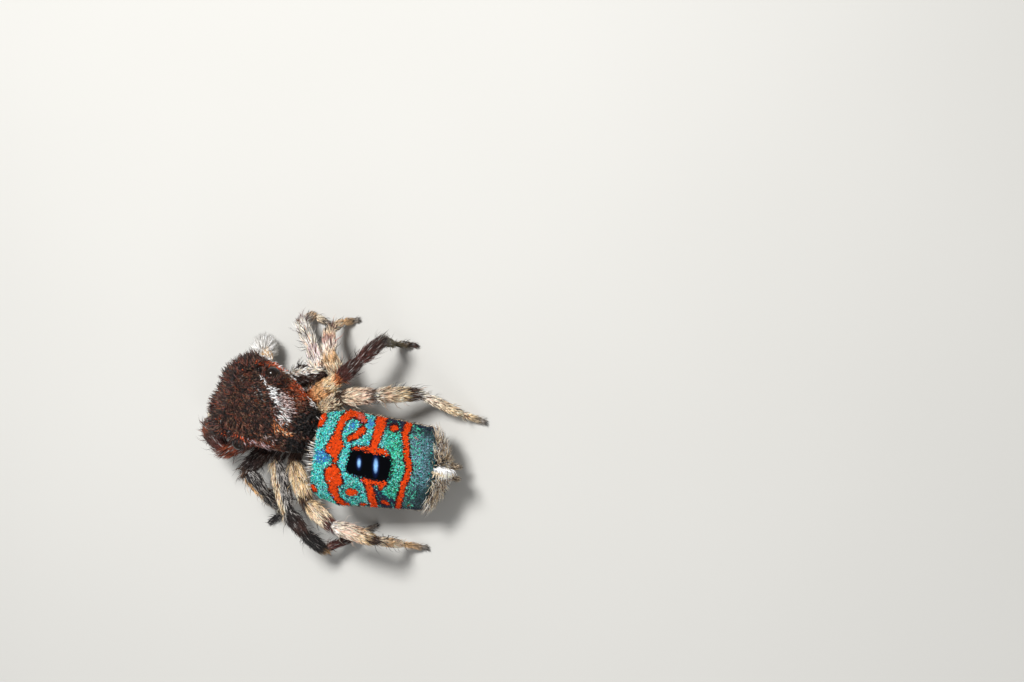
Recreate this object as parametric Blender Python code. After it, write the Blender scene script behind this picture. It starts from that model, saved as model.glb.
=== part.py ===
"""Male peacock spider at life size, standing still on its eight feet.

All sizes are in millimetres until a vertex is written, when MM turns them into metres.
The body stands over the origin, facing -Y, with its right side towards -X and the floor at z = 0.
"""

import math
import random

import bmesh
import bpy
from mathutils import Matrix, Vector
from mathutils.bvhtree import BVHTree

MM = 0.001
GAP = 0.02
FOOTPRINT_CENTRE = (-0.19, 0.956)

HEAD_ORIGIN = (-0.462, 0.12, 0.528)
HEAD_YAW = 19.0
HEAD_PITCH = 8.0
PLATE_FRONT = (0.0, 1.0, 1.62)
PLATE_SLOPE = 18.0
PLATE_LENGTH = 2.12
PLATE_THICKNESS = 0.07
PLATE_DROP = 0.36
PLATE_CORNER = 0.015

# Distance forward of the leg ring, half width and height of each slice of the carapace.
CARAPACE_SLICES = (
    (-0.80, 0.20, 0.42),
    (-0.74, 0.31, 0.53),
    (-0.60, 0.41, 0.70),
    (-0.38, 0.50, 0.88),
    (-0.10, 0.62, 1.02),
    (0.20, 0.72, 1.09),
    (0.50, 0.765, 1.11),
    (0.80, 0.76, 1.07),
    (0.98, 0.70, 1.00),
    (1.06, 0.62, 0.94),
)
CARAPACE_RIM = 0.30
FACE_NOTCH_START = 0.74
FACE_NOTCH_TOP = 0.40

# Place in the head frame, radius and outward aim in degrees of each eye of a pair.
EYES = {
    "eye_front_median": ((0.95, 0.265, 0.72), 0.24, 4),
    "eye_front_lateral": ((0.84, 0.625, 0.80), 0.15, 38),
    "eye_middle_small": ((0.55, 0.635, 0.90), 0.045, 80),
    "eye_rear": ((0.28, 0.685, 0.90), 0.125, 90),
}

# Lengths of femur, patella, tibia, metatarsus and tarsus, and their radii at mid length.
LEG_LENGTHS = {
    1: (0.76, 0.46, 0.60, 0.42, 0.26),
    2: (0.74, 0.46, 0.58, 0.40, 0.26),
    3: (0.95, 0.46, 0.62, 0.62, 0.36),
    4: (0.80, 0.62, 0.86, 0.80, 0.40),
}
LEG_RADII = {
    1: (0.135, 0.120, 0.105, 0.070, 0.052),
    2: (0.130, 0.115, 0.100, 0.068, 0.052),
    3: (0.120, 0.105, 0.095, 0.062, 0.050),
    4: (0.125, 0.125, 0.112, 0.075, 0.052),
}

# Where each femur starts in the head frame, then heading and rise of its five segments.
# Heading 0 is straight ahead, 90 is out to the leg's own side, and rise is above level.
LEG_POSES = {
    "right_1": ((0.30, 0.63, 0.03), (162, 33), (56, -25), (45, -23), (109, -71), (-161, 0)),
    "right_2": ((0.01, 0.59, -0.09), (155, 23), (73, 33), (59, -41), (113, -68), (161, 0)),
    "right_3": ((-0.21, 0.47, 0.08), (143, 34), (133, 2), (125, -29), (-80, -80), (177, 0)),
    "right_4": ((-0.44, 0.36, -0.01), (145, 41), (166, 1), (172, -40), (-160, -24), (-165, 0)),
    "left_1": ((0.40, 0.52, -0.01), (42, 33), (-30, -8), (-31, -62), (-98, -26), (-118, 0)),
    "left_2": ((0.14, 0.62, -0.03), (64, 45), (134, -7), (120, -57), (78, -62), (43, 0)),
    "left_3": ((-0.13, 0.84, 0.08), (120, 20), (138, 1), (126, -49), (-148, -28), (-142, 0)),
    "left_4": ((-0.42, 0.67, 0.08), (125, 18), (150, 8), (173, 3), (156, -70), (176, 0)),
}
HIP_ROOTS = {1: (0.35, 0.24), 2: (0.14, 0.29), 3: (-0.10, 0.29), 4: (-0.34, 0.26)}
HIP_RADIUS = 0.105
TOE_LENGTH = 0.07
SOLE_SHARE = 0.72
PALP_WRIST = 0.05
LOCK_SINK = 0.03
LOCK_CLEARANCE = 0.03
TUBE_SIDES = 8
UP = Vector((0.0, 0.0, 1.0))

COLOURS = {
    "cuticle": (0.10, 0.045, 0.03),
    "eye": (0.01, 0.01, 0.012),
    "cream": (0.62, 0.50, 0.36),
    "maroon": (0.20, 0.08, 0.06),
    "plate": (0.05, 0.42, 0.42),
    "grey": (0.25, 0.24, 0.22),
    "white": (0.80, 0.78, 0.72),
}


class Frame:
    """A place and three directions: forward, to the animal's right, and up."""

    def __init__(self, origin, yaw, pitch):
        turn, tip = math.radians(yaw), math.radians(pitch)
        self.origin = Vector(origin)
        self.forward = Vector(
            (-math.sin(turn) * math.cos(tip), -math.cos(turn) * math.cos(tip), -math.sin(tip))
        )
        self.right = Vector((-math.cos(turn), math.sin(turn), 0.0))
        self.up = self.forward.cross(self.right)
        if self.up.z < 0:
            self.up.negate()

    def at(self, forward, right, up):
        return self.origin + self.forward * forward + self.right * right + self.up * up

    def aim(self, forward, right, up):
        return (self.forward * forward + self.right * right + self.up * up).normalized()


HEAD = Frame(HEAD_ORIGIN, HEAD_YAW, HEAD_PITCH)
ABDOMEN = Frame(PLATE_FRONT, 0.0, -PLATE_SLOPE)


def clear_scene():
    for obj in list(bpy.data.objects):
        bpy.data.objects.remove(obj, do_unlink=True)


def material(name):
    found = bpy.data.materials.get(name)
    if found:
        return found
    made = bpy.data.materials.new(name)
    made.use_nodes = True
    shader = made.node_tree.nodes["Principled BSDF"]
    shader.inputs["Base Color"].default_value = (*COLOURS[name], 1.0)
    shader.inputs["Roughness"].default_value = 0.15 if name == "eye" else 0.6
    shader.inputs["Metallic"].default_value = 0.0
    return made


def add_object(name, bm, colour):
    """Turns a closed bmesh in millimetres into a named object in metres."""
    centre = Vector((*FOOTPRINT_CENTRE, 0.0))
    for vert in bm.verts:
        vert.co = (vert.co - centre) * MM
    bmesh.ops.recalc_face_normals(bm, faces=bm.faces)
    mesh = bpy.data.meshes.new(name)
    bm.to_mesh(mesh)
    bm.free()
    mesh.materials.append(material(colour))
    mesh.shade_smooth()
    obj = bpy.data.objects.new(name, mesh)
    bpy.context.collection.objects.link(obj)
    return obj


def loft(rings, bm=None):
    """Skins a row of rings of equal count and closes both ends."""
    bm = bm or bmesh.new()
    rows = [[bm.verts.new(point) for point in ring] for ring in rings]
    count = len(rows[0])
    for row, following in zip(rows, rows[1:]):
        for i in range(count):
            j = (i + 1) % count
            bm.faces.new((row[i], row[j], following[j], following[i]))
    bm.faces.new(rows[0])
    bm.faces.new(rows[-1])
    return bm


def levelled(side, tangent, sides):
    """Turns a ring by at most half a step, so that one of its faces lies underneath."""
    level = tangent.cross(UP).normalized()
    turn = math.atan2(level.cross(side).dot(tangent), level.dot(side))
    step = math.tau / sides
    return Matrix.Rotation(round(turn / step) * step, 3, tangent) @ level


def tube(path, radii, sides=TUBE_SIDES, level_rings=0):
    """A closed round tube through the path, mitred at each bend."""
    path = [Vector(point) for point in path]
    steps = [(b - a).normalized() for a, b in zip(path, path[1:])]
    tangents = [steps[0]] + [(a + b).normalized() for a, b in zip(steps, steps[1:])] + [steps[-1]]
    side = tangents[0].cross(UP)
    if side.length < 0.05:
        side = Vector((1, 0, 0))
    rings = []
    for point, tangent, radius in zip(path, tangents, radii):
        side = (side - tangent * side.dot(tangent)).normalized()
        if len(path) - len(rings) <= level_rings:
            side = levelled(side, tangent, sides)
        other = tangent.cross(side)
        ring = []
        for i in range(sides):
            angle = math.tau * (i + 0.5) / sides
            ring.append(point + (side * math.cos(angle) + other * math.sin(angle)) * radius)
        rings.append(ring)
    return loft(rings)


def ball(centre, radius, segments, rings, axis=UP):
    """A closed ball of level rings between two poles, its faces always in the same order."""
    bm = bmesh.new()
    turn = UP.rotation_difference(axis).to_matrix()

    def point(polar, around):
        across = math.sin(polar)
        way = Vector((across * math.cos(around), across * math.sin(around), math.cos(polar)))
        return bm.verts.new(Vector(centre) + turn @ way * radius)

    top, bottom = point(0.0, 0.0), point(math.pi, 0.0)
    rows = []
    for k in range(1, rings):
        polar = math.pi * k / rings
        rows.append([point(polar, math.pi / 2 + math.tau * i / segments) for i in range(segments)])
    for i in range(segments):
        j = (i + 1) % segments
        bm.faces.new((top, rows[0][i], rows[0][j]))
        for row, lower in zip(rows, rows[1:]):
            bm.faces.new((row[i], lower[i], lower[j], row[j]))
        bm.faces.new((rows[-1][i], bottom, rows[-1][j]))
    return bm


def superellipse(angle, power):
    cosine, sine = math.cos(angle), math.sin(angle)
    return (
        math.copysign(abs(cosine) ** (2 / power), cosine),
        math.copysign(abs(sine) ** (2 / power), sine),
    )


def boolean(obj, others, operation):
    """Joins or cuts closed meshes, applies the result and removes the others."""
    group = bpy.data.collections.new("pieces")
    for other in others:
        group.objects.link(other)
    modifier = obj.modifiers.new(operation.lower(), "BOOLEAN")
    modifier.operand_type = "COLLECTION"
    modifier.collection = group
    modifier.operation = operation
    modifier.solver = "MANIFOLD"
    graph = bpy.context.evaluated_depsgraph_get()
    mesh = bpy.data.meshes.new_from_object(obj.evaluated_get(graph))
    obj.modifiers.clear()
    obj.data = mesh
    for other in list(group.objects):
        bpy.data.objects.remove(other, do_unlink=True)
    bpy.data.collections.remove(group)
    keep_largest(obj)


def keep_largest(obj):
    """Leaves only the surface with the most faces, so that no loose scrap stays."""
    bm = bmesh.new()
    bm.from_mesh(obj.data)
    left = set(bm.verts)
    groups = []
    while left:
        seed = left.pop()
        group, edge = {seed}, [seed]
        while edge:
            for link in edge.pop().link_edges:
                for vert in link.verts:
                    if vert in left:
                        left.discard(vert)
                        group.add(vert)
                        edge.append(vert)
        groups.append(group)
    groups.sort(key=len)
    spare = [vert for group in groups[:-1] for vert in group]
    bmesh.ops.delete(bm, geom=spare, context="VERTS")
    bm.to_mesh(obj.data)
    bm.free()


def make_carapace():
    arc = 14
    rings = []
    for forward, half, top in CARAPACE_SLICES:
        ring = []
        for i in range(arc + 1):
            across, rise = superellipse(math.pi * i / arc, 2.6)
            tuck = 0.90 + 0.10 * min(1.0, rise * 2.0)
            height = CARAPACE_RIM + (top - CARAPACE_RIM) * rise
            ring.append(HEAD.at(forward, half * across * tuck, height))
        rings.append(ring)
    dome = add_object("carapace", loft(rings), "cuticle")
    collars = []
    for name, ((forward, right, up), radius, aim) in EYES.items():
        if radius < 0.1:
            continue
        for side in (1, -1):
            turn = math.radians(aim)
            axis = HEAD.aim(math.cos(turn), side * math.sin(turn), 0.05)
            centre = HEAD.at(forward, side * right, up)
            path = [centre - axis * radius * 0.9, centre + axis * radius * 0.45]
            collar = tube(path, [radius * 1.32, radius * 1.14], 12)
            collars.append(add_object("collar", collar, "cuticle"))
    boolean(dome, collars, "UNION")
    notch = bmesh.new()
    bmesh.ops.create_cube(notch, size=1.0)
    reach, breadth = 0.9, 2.0
    for vert in notch.verts:
        x, y, z = vert.co
        top = FACE_NOTCH_TOP if z > 0 else -0.5
        vert.co = HEAD.at(FACE_NOTCH_START + (x + 0.5) * reach, y * breadth, top)
    cutters = [add_object("notch", notch, "cuticle")]
    for name, ((forward, right, up), radius, aim) in EYES.items():
        for side in (1, -1):
            centre = HEAD.at(forward, side * right, up)
            segments = 14 if radius > 0.2 else 10
            cutters.append(add_object("socket", ball(centre, radius + GAP, segments, 8), "cuticle"))
    boolean(dome, cutters, "DIFFERENCE")


def make_eyes():
    for name, ((forward, right, up), radius, aim) in EYES.items():
        segments = 18 if radius > 0.2 else 12 if radius > 0.1 else 8
        for side, side_name in ((1, "right"), (-1, "left")):
            turn = math.radians(aim)
            axis = HEAD.aim(math.cos(turn), side * math.sin(turn), 0.05)
            lens = ball(HEAD.at(forward, side * right, up), radius, segments, segments // 2 + 2, axis)
            add_object(f"{name}_{side_name}", lens, "eye")


def make_underside():
    core = []
    for forward, half in ((-0.56, 0.10), (-0.40, 0.17), (-0.10, 0.215), (0.20, 0.20), (0.46, 0.13)):
        ring = []
        for i in range(12):
            across, rise = superellipse(math.tau * (i + 0.5) / 12, 3.0)
            ring.append(HEAD.at(forward, half * across, 0.08 + 0.19 * rise))
        core.append(ring)
    add_object("sternum", loft(core), "cuticle")
    mouth = []
    slices = ((0.49, 0.12, 0.0, 0.26), (0.56, 0.19, -0.10, 0.27), (0.70, 0.17, -0.12, 0.26))
    for forward, half, low, top in slices:
        ring = []
        for i in range(10):
            across, rise = superellipse(math.tau * (i + 0.5) / 10, 2.6)
            ring.append(HEAD.at(forward, half * across, (low + top) / 2 + (top - low) / 2 * rise))
        mouth.append(ring)
    add_object("mouthparts", loft(mouth), "cuticle")
    path = [HEAD.at(-0.585, 0, 0.12), HEAD.at(-0.68, 0, 0.12), Vector((-0.21, 0.812, 0.785))]
    add_object("pedicel", tube(path, [0.08, 0.065, 0.068]), "cuticle")


def make_mouth_limbs():
    for side, side_name in ((1, "right"), (-1, "left")):
        path = [HEAD.at(0.86, side * 0.15, 0.36), HEAD.at(0.88, side * 0.155, 0.22)]
        path += [HEAD.at(0.87, side * 0.15, 0.02), HEAD.at(0.83, side * 0.13, -0.12)]
        fang = HEAD.at(0.80, side * 0.09, -0.16)
        radii = [0.10, 0.125, 0.11, 0.07]
        add_object(f"chelicera_{side_name}", tube(path + [fang], radii + [0.03]), "cuticle")
        root = HEAD.at(0.62, side * 0.28, 0.03)
        elbow = HEAD.at(0.80, side * 0.62, 0.15)
        wrist = HEAD.at(0.95, side * 0.77, 0.19)
        tip = HEAD.at(1.16, side * 0.74, -0.10)
        cut = shorten([elbow, wrist, tip], 1, PALP_WRIST)
        end = wrist + (elbow - wrist).normalized() * cut
        arm = tube([root, root.lerp(elbow, 0.4), elbow, end], [0.06, 0.075, 0.078, PALP_WRIST])
        add_object(f"palp_arm_{side_name}", arm, "cream")
        start = wrist + (tip - wrist).normalized() * cut
        palp = tube(
            [start] + [start.lerp(tip, share) for share in (0.25, 0.5, 0.8, 1.0)],
            [PALP_WRIST, 0.10, 0.125, 0.10, 0.04],
        )
        add_object(f"palp_tip_{side_name}", palp, "white")


def heading(side, turn, rise):
    turn, rise = math.radians(turn), math.radians(rise)
    level = math.cos(rise)
    return Vector((side * math.sin(turn) * level, -math.cos(turn) * level, math.sin(rise)))


def leg_joints(name):
    """The six joints of a leg from the femur's start, the last just above the floor."""
    pair = int(name[-1])
    side = -1 if name.startswith("right") else 1
    start, *turns = LEG_POSES[name]
    joints = [HEAD.at(start[0], -side * start[1], start[2])]
    for length, (turn, rise) in zip(LEG_LENGTHS[pair], turns):
        joints.append(joints[-1] + heading(side, turn, rise) * length)
    sole = LEG_RADII[pair][4] * SOLE_SHARE
    ankle = joints[4]
    drop = (ankle.z - sole) / LEG_LENGTHS[pair][4]
    rise = -math.degrees(math.asin(max(-0.95, min(0.95, drop))))
    joints[5] = ankle + heading(side, turns[4][0], rise) * LEG_LENGTHS[pair][4]
    return joints


def shorten(joints, index, end_radius):
    """How far a node stops short of a joint, so that two tapered ends clear each other."""
    before = (joints[index] - joints[index - 1]).normalized()
    after = (joints[index + 1] - joints[index]).normalized()
    bend = before.angle(after)
    return GAP / 2 + end_radius * math.tan(min(bend, 2.2) / 2)


def stations(a, b, shares, radii):
    return [a.lerp(b, share) for share in shares], list(radii)


def make_leg(name):
    pair = int(name[-1])
    side = -1 if name.startswith("right") else 1
    femur, patella, tibia, metatarsus, tarsus = LEG_RADII[pair]
    joints = leg_joints(name)
    root_forward, root_right = HIP_ROOTS[pair]
    root = HEAD.at(root_forward, -side * root_right, 0.0)
    chain = [root] + joints
    end = 0.55
    hip_cut = shorten(chain, 1, HIP_RADIUS * end)
    out = (joints[0] - root).normalized()
    hip_end = joints[0] - out * hip_cut
    path, radii = stations(
        root, hip_end, (0.0, 0.12, 0.5, 0.8, 1.0), [HIP_RADIUS * k for k in (0.62, 0.95, 1.0, 0.92, end)]
    )
    add_object(f"leg_{name}_hip", tube(path, radii), "cuticle")

    out = (joints[1] - joints[0]).normalized()
    a = joints[0] + out * shorten(chain, 1, femur * end)
    b = joints[1] - out * shorten(chain, 2, femur * end)
    path, radii = stations(
        a, b, (0.0, 0.10, 0.35, 0.65, 0.90, 1.0), [femur * k for k in (end, 0.82, 1.0, 1.0, 0.85, end)]
    )
    add_object(f"leg_{name}_femur", tube(path, radii), "cream")

    out = (joints[2] - joints[1]).normalized()
    a = joints[1] + out * shorten(chain, 2, patella * end)
    out = (joints[3] - joints[2]).normalized()
    b = joints[3] - out * shorten(chain, 4, tibia * end)
    knee, knee_radii = stations(
        a, joints[2], (0.0, 0.18, 0.55, 0.90), [patella * k for k in (end, 0.9, 1.0, 0.80)]
    )
    shin, shin_radii = stations(
        joints[2], b, (0.12, 0.40, 0.75, 0.94, 1.0), [tibia * k for k in (0.90, 1.0, 0.98, 0.78, end)]
    )
    add_object(f"leg_{name}_shank", tube(knee + shin, knee_radii + shin_radii), "maroon")

    out = (joints[4] - joints[3]).normalized()
    a = joints[3] + out * shorten(chain, 4, metatarsus * 0.7)
    upper, upper_radii = stations(
        a, joints[4], (0.0, 0.12, 0.6, 0.93), [metatarsus * k for k in (0.7, 1.0, 0.92, 0.85)]
    )
    lower, lower_radii = stations(
        joints[4], joints[5], (0.10, 0.5, 0.9, 1.0), [tarsus * k for k in (1.0, 1.0, 1.05, 1.0)]
    )
    toe = joints[5] + heading(side, LEG_POSES[name][5][0], 0.0) * TOE_LENGTH
    foot = tube(upper + lower + [toe], upper_radii + lower_radii + [tarsus * 0.85], level_rings=3)
    for vert in foot.verts:
        vert.co.z = max(vert.co.z, 0.0)
    add_object(f"leg_{name}_foot", foot, "cream")


PLATE_HALF_WIDTHS = (
    (0.0, 0.66),
    (0.1, 0.76),
    (0.25, 0.84),
    (0.42, 0.80),
    (0.6, 0.775),
    (0.8, 0.745),
    (1.0, 0.715),
)


def half_width(share):
    """Half the plate's breadth, at a share of its length from the front."""
    points = PLATE_HALF_WIDTHS
    if share <= points[0][0]:
        return points[0][1]
    for (a, low), (b, high) in zip(points, points[1:]):
        if share <= b:
            ease = (share - a) / (b - a)
            return low + (high - low) * ease
    return points[-1][1]


def plate_point(share, across, depth=0.0):
    """A point on the plate: share runs front to rear, across runs -1 to 1."""
    share += PLATE_CORNER * across**6 * (1 - 3 * share)
    sag = PLATE_DROP * abs(across) ** 3
    ends = 0.08 * max(0.0, 1 - share / 0.12) ** 2 + 0.12 * max(0.0, (share - 0.88) / 0.12) ** 2
    return ABDOMEN.at(-share * PLATE_LENGTH, half_width(share) * across, -sag - ends - depth)


def make_plate():
    lengthwise, crosswise = 12, 12
    rings = []
    for i in range(lengthwise + 1):
        share = i / lengthwise
        rows = [j / crosswise * 2 - 1 for j in range(crosswise + 1)]
        top = [plate_point(share, across) for across in rows]
        under = [plate_point(share, across * 0.97, PLATE_THICKNESS) for across in reversed(rows)]
        rings.append(top + under)
    add_object("abdomen_plate", loft(rings), "plate")


# Share of the plate's length, breadth as a share of the plate's, top and belly below the plate line.
ABDOMEN_SLICES = (
    (0.0, 0.42, 0.25, 0.52),
    (0.03, 0.72, 0.16, 0.74),
    (0.12, 0.88, 0.11, 0.93),
    (0.30, 0.94, 0.10, 1.06),
    (0.50, 0.95, 0.10, 1.08),
    (0.70, 0.95, 0.10, 0.98),
    (0.86, 0.90, 0.11, 0.84),
    (0.97, 0.78, 0.26, 0.68),
    (1.05, 0.48, 0.34, 0.52),
)


def make_abdomen():
    half_ring = 9
    rings = []
    for share, breadth, top, belly in ABDOMEN_SLICES:
        half = half_width(share) * breadth
        sag = PLATE_DROP * breadth**3
        ring = []
        for i in range(half_ring):
            across = 1 - 2 * i / (half_ring - 1)
            ring.append(ABDOMEN.at(-share * PLATE_LENGTH, half * across, -top - sag * abs(across) ** 3))
        side = top + sag
        for i in range(1, half_ring - 1):
            across, rise = superellipse(math.pi + math.pi * i / (half_ring - 1), 2.2)
            ring.append(ABDOMEN.at(-share * PLATE_LENGTH, half * across, -side + (belly - side) * rise))
        rings.append(ring)
    add_object("abdomen", loft(rings), "grey")
    cones = []
    for side in (1, -1):
        for length, spread, lift in ((0.24, 0.10, 0.02), (0.18, 0.06, -0.09)):
            root = ABDOMEN.at(-1.075 * PLATE_LENGTH, side * spread * 0.8, -0.44 + lift)
            tip = root - ABDOMEN.forward * length + ABDOMEN.right * side * 0.03
            form = tube([root, root.lerp(tip, 0.6), tip], [0.055, 0.045, 0.015], 6)
            cones.append(add_object("cone", form, "grey"))
    base = ABDOMEN.at(-1.0595 * PLATE_LENGTH, 0, -0.45)
    hub = tube([base, base - ABDOMEN.forward * 0.05], [0.15, 0.12], 10)
    spinnerets = add_object("spinnerets", hub, "grey")
    boolean(spinnerets, cones, "UNION")


def surface(obj):
    """A search tree of an object's faces, in millimetres."""
    centre = Vector((*FOOTPRINT_CENTRE, 0.0))
    verts = [vert.co / MM + centre for vert in obj.data.vertices]
    return BVHTree.FromPolygons(verts, [tuple(face.vertices) for face in obj.data.polygons])


def lock_spine(root, normal, lie, length, lift):
    """The centre line of a lock, which rises from its root and then bends over along the lie."""
    point = root - normal * LOCK_SINK
    spine = [point]
    for share, rise in ((0.38, lift), (0.34, lift * 0.6), (0.28, lift * 0.2)):
        step = lie * math.cos(rise) + normal * math.sin(rise)
        reach = share * length + (LOCK_SINK if len(spine) == 1 else 0.0)
        point = point + step * reach
        spine.append(point)
    return spine


def add_lock(spine, normal, width):
    rings = []
    for point, following, share in zip(spine, spine[1:], (0.8, 1.0, 0.7)):
        along = (following - point).normalized()
        across = along.cross(normal).normalized() * width * share / 2
        thick = across.cross(along).normalized() * width * share * 0.22
        rings.append([point + across, point + thick, point - across, point - thick])
    bm = loft(rings)
    bm.faces.ensure_lookup_table()
    end = bm.faces[-1]
    tip = bm.verts.new(spine[-1])
    corners = list(end.verts)
    bm.faces.remove(end)
    for i, corner in enumerate(corners):
        bm.faces.new((corner, corners[(i + 1) % len(corners)], tip))
    return add_object("lock", bm, "grey")


def is_clear(spine, width, trees):
    """Whether a lock stays above the floor and away from every other node."""
    if min(point.z for point in spine) < width:
        return False
    for tree in trees:
        if tree.find_nearest(spine[0], GAP + width / 2)[0]:
            return False
        for point, following in zip(spine[1:], spine[2:] + spine[-1:]):
            if tree.find_nearest(point, LOCK_CLEARANCE + width / 2)[0]:
                return False
            step = following - point
            if step.length > 0 and tree.ray_cast(point, step.normalized(), step.length)[0]:
                return False
    return True


def grow(name, seeds, length, width, lift, scatter=0.25):
    """Joins locks to a node where seeds, pairs of a near point and a lie, meet its surface."""
    obj = bpy.data.objects[name]
    rng = random.Random(name)
    tree = TREES[name]
    others = [other for key, other in TREES.items() if key != name]
    locks = []
    for near, lie in seeds:
        root, normal, _, _ = tree.find_nearest(near)
        side = normal.cross(lie)
        lie = lie + side * rng.uniform(-scatter, scatter)
        lie = (lie - normal * lie.dot(normal)).normalized()
        reach = length * rng.uniform(0.75, 1.2)
        for angle in (lift * rng.uniform(0.8, 1.2), lift * 0.5, lift * 0.2):
            spine = lock_spine(root, normal, lie, reach, angle)
            if is_clear(spine, width, others):
                locks.append(add_lock(spine, normal, width * rng.uniform(0.8, 1.2)))
                break
    if locks:
        boolean(obj, locks, "UNION")
        TREES[name] = surface(obj)


def leg_seeds(path, count, rng):
    """Points close above a leg's skin, all round it, each with the way to the foot."""
    seeds = []
    for i in range(count):
        share = (i + rng.uniform(0.2, 0.8)) / count * (len(path) - 1)
        k = min(int(share), len(path) - 2)
        a, b = path[k], path[k + 1]
        along = (b - a).normalized()
        side = along.cross(UP).normalized()
        over = side.cross(along)
        angle = math.radians(130) * math.sin(i * 2.4)
        out = over * math.cos(angle) + side * math.sin(angle)
        seeds.append((a.lerp(b, share - k) + out * 0.2, along))
    return seeds


def grow_legs():
    for name in LEG_POSES:
        rng = random.Random(name)
        joints = leg_joints(name)
        length = 0.23 if name[-1] in "34" else 0.20
        for part, first, last, count in (("femur", 0, 1, 6), ("shank", 1, 3, 9), ("foot", 3, 5, 4)):
            seeds = leg_seeds(joints[first : last + 1], count, rng)
            thin = 0.75 if part == "foot" else 1.0
            grow(f"leg_{name}_{part}", seeds, length * thin, 0.075 * thin, 0.5)


def grow_head():
    rng = random.Random(5)
    seeds = []
    for i in range(9):
        forward = -0.60 + 0.19 * i
        for j in range(6):
            turn = math.radians(20 + 140 * (j + 0.5 * (i % 2) + rng.uniform(-0.2, 0.2)) / 5.5)
            along = forward + rng.uniform(-0.05, 0.05)
            near = HEAD.at(along, 0.9 * math.cos(turn), 0.5 + 0.8 * math.sin(turn))
            gap = min(
                (near - HEAD.at(f, math.copysign(r, math.cos(turn)), u)).length
                for (f, r, u), _, _ in EYES.values()
            )
            ahead = 1.0 if forward > 0.7 else -1.0
            lie = HEAD.aim(ahead, 0.8 * math.cos(turn), 0.3)
            seeds.append((near, lie, gap))
    seeds = [(near, lie) for near, lie, gap in seeds if gap > 0.30]
    for side in (1, -1):
        for right in (0.12, 0.34, 0.54):
            seeds.append((HEAD.at(1.1, side * right, 0.46), HEAD.aim(0.5, 0.0, -1.0)))
    grow("carapace", seeds, 0.22, 0.10, 0.5)


def grow_abdomen():
    rng = random.Random(7)
    front = [j / 13 * 1.4 - 0.7 for j in range(14)]
    seeds = [(plate_point(0.03, across, -0.1), ABDOMEN.aim(1.0, across * 0.4, 0.0)) for across in front]
    grow("abdomen_plate", seeds, 0.25, 0.08, 0.25)
    seeds = []
    for j in range(9):
        across = j / 4 - 1
        for depth in (0.28, 0.42, 0.56):
            near = ABDOMEN.at(-1.08 * PLATE_LENGTH, 0.42 * across, -depth)
            seeds.append((near, ABDOMEN.aim(-1.0, across * 0.6, rng.uniform(-0.2, 0.6))))
    for side in (1, -1):
        for i in range(11):
            share = 0.08 + 0.085 * i
            near = ABDOMEN.at(-share * PLATE_LENGTH, side * 1.1, -0.62 - 0.1 * (i % 2))
            seeds.append((near, ABDOMEN.aim(-1.0, 0.0, -0.25)))
    grow("abdomen", seeds, 0.32, 0.085, 0.85)


def grow_palps():
    rng = random.Random(9)
    for side, side_name in ((1, "right"), (-1, "left")):
        seeds = []
        for i in range(14):
            turn = i * 2.4
            right, up = side * (0.76 + 0.25 * math.cos(turn)), 0.10 - 0.012 * i + 0.25 * math.sin(turn)
            near = HEAD.at(1.02 + 0.010 * i, right, up)
            seeds.append((near, HEAD.aim(0.6, side * rng.uniform(0.1, 1.0), rng.uniform(-0.3, 0.4))))
        grow(f"palp_tip_{side_name}", seeds, 0.26, 0.07, 0.6)


clear_scene()
make_carapace()
make_eyes()
make_underside()
make_mouth_limbs()
for leg in LEG_POSES:
    make_leg(leg)
make_plate()
make_abdomen()
TREES = {obj.name: surface(obj) for obj in bpy.data.objects}
grow_palps()
grow_head()
grow_abdomen()
grow_legs()
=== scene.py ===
"""A male peacock spider at life size, standing still, with its hair and scales as solid mesh.

Shapes are worked out in millimetres on the spider's own plan and placed in metres at the end.
"""

import math

import bpy
import numpy as np
from mathutils import Matrix, Vector


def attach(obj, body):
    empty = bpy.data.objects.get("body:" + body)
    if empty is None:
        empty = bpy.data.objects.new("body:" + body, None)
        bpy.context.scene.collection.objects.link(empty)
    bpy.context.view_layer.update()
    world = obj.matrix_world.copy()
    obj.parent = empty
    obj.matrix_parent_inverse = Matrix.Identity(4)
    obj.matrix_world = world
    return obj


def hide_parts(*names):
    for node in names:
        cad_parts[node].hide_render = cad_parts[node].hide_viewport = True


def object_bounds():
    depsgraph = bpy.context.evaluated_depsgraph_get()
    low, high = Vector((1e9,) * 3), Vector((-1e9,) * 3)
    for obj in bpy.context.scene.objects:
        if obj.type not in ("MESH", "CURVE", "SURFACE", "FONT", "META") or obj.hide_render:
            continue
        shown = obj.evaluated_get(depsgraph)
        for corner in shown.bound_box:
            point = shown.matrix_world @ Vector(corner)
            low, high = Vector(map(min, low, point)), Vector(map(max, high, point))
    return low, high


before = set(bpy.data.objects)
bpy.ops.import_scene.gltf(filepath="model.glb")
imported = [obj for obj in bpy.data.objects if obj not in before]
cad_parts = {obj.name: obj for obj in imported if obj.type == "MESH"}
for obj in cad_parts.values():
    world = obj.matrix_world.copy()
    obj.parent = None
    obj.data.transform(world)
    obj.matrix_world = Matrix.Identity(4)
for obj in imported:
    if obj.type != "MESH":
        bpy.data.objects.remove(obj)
cad_low, cad_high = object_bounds()

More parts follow.
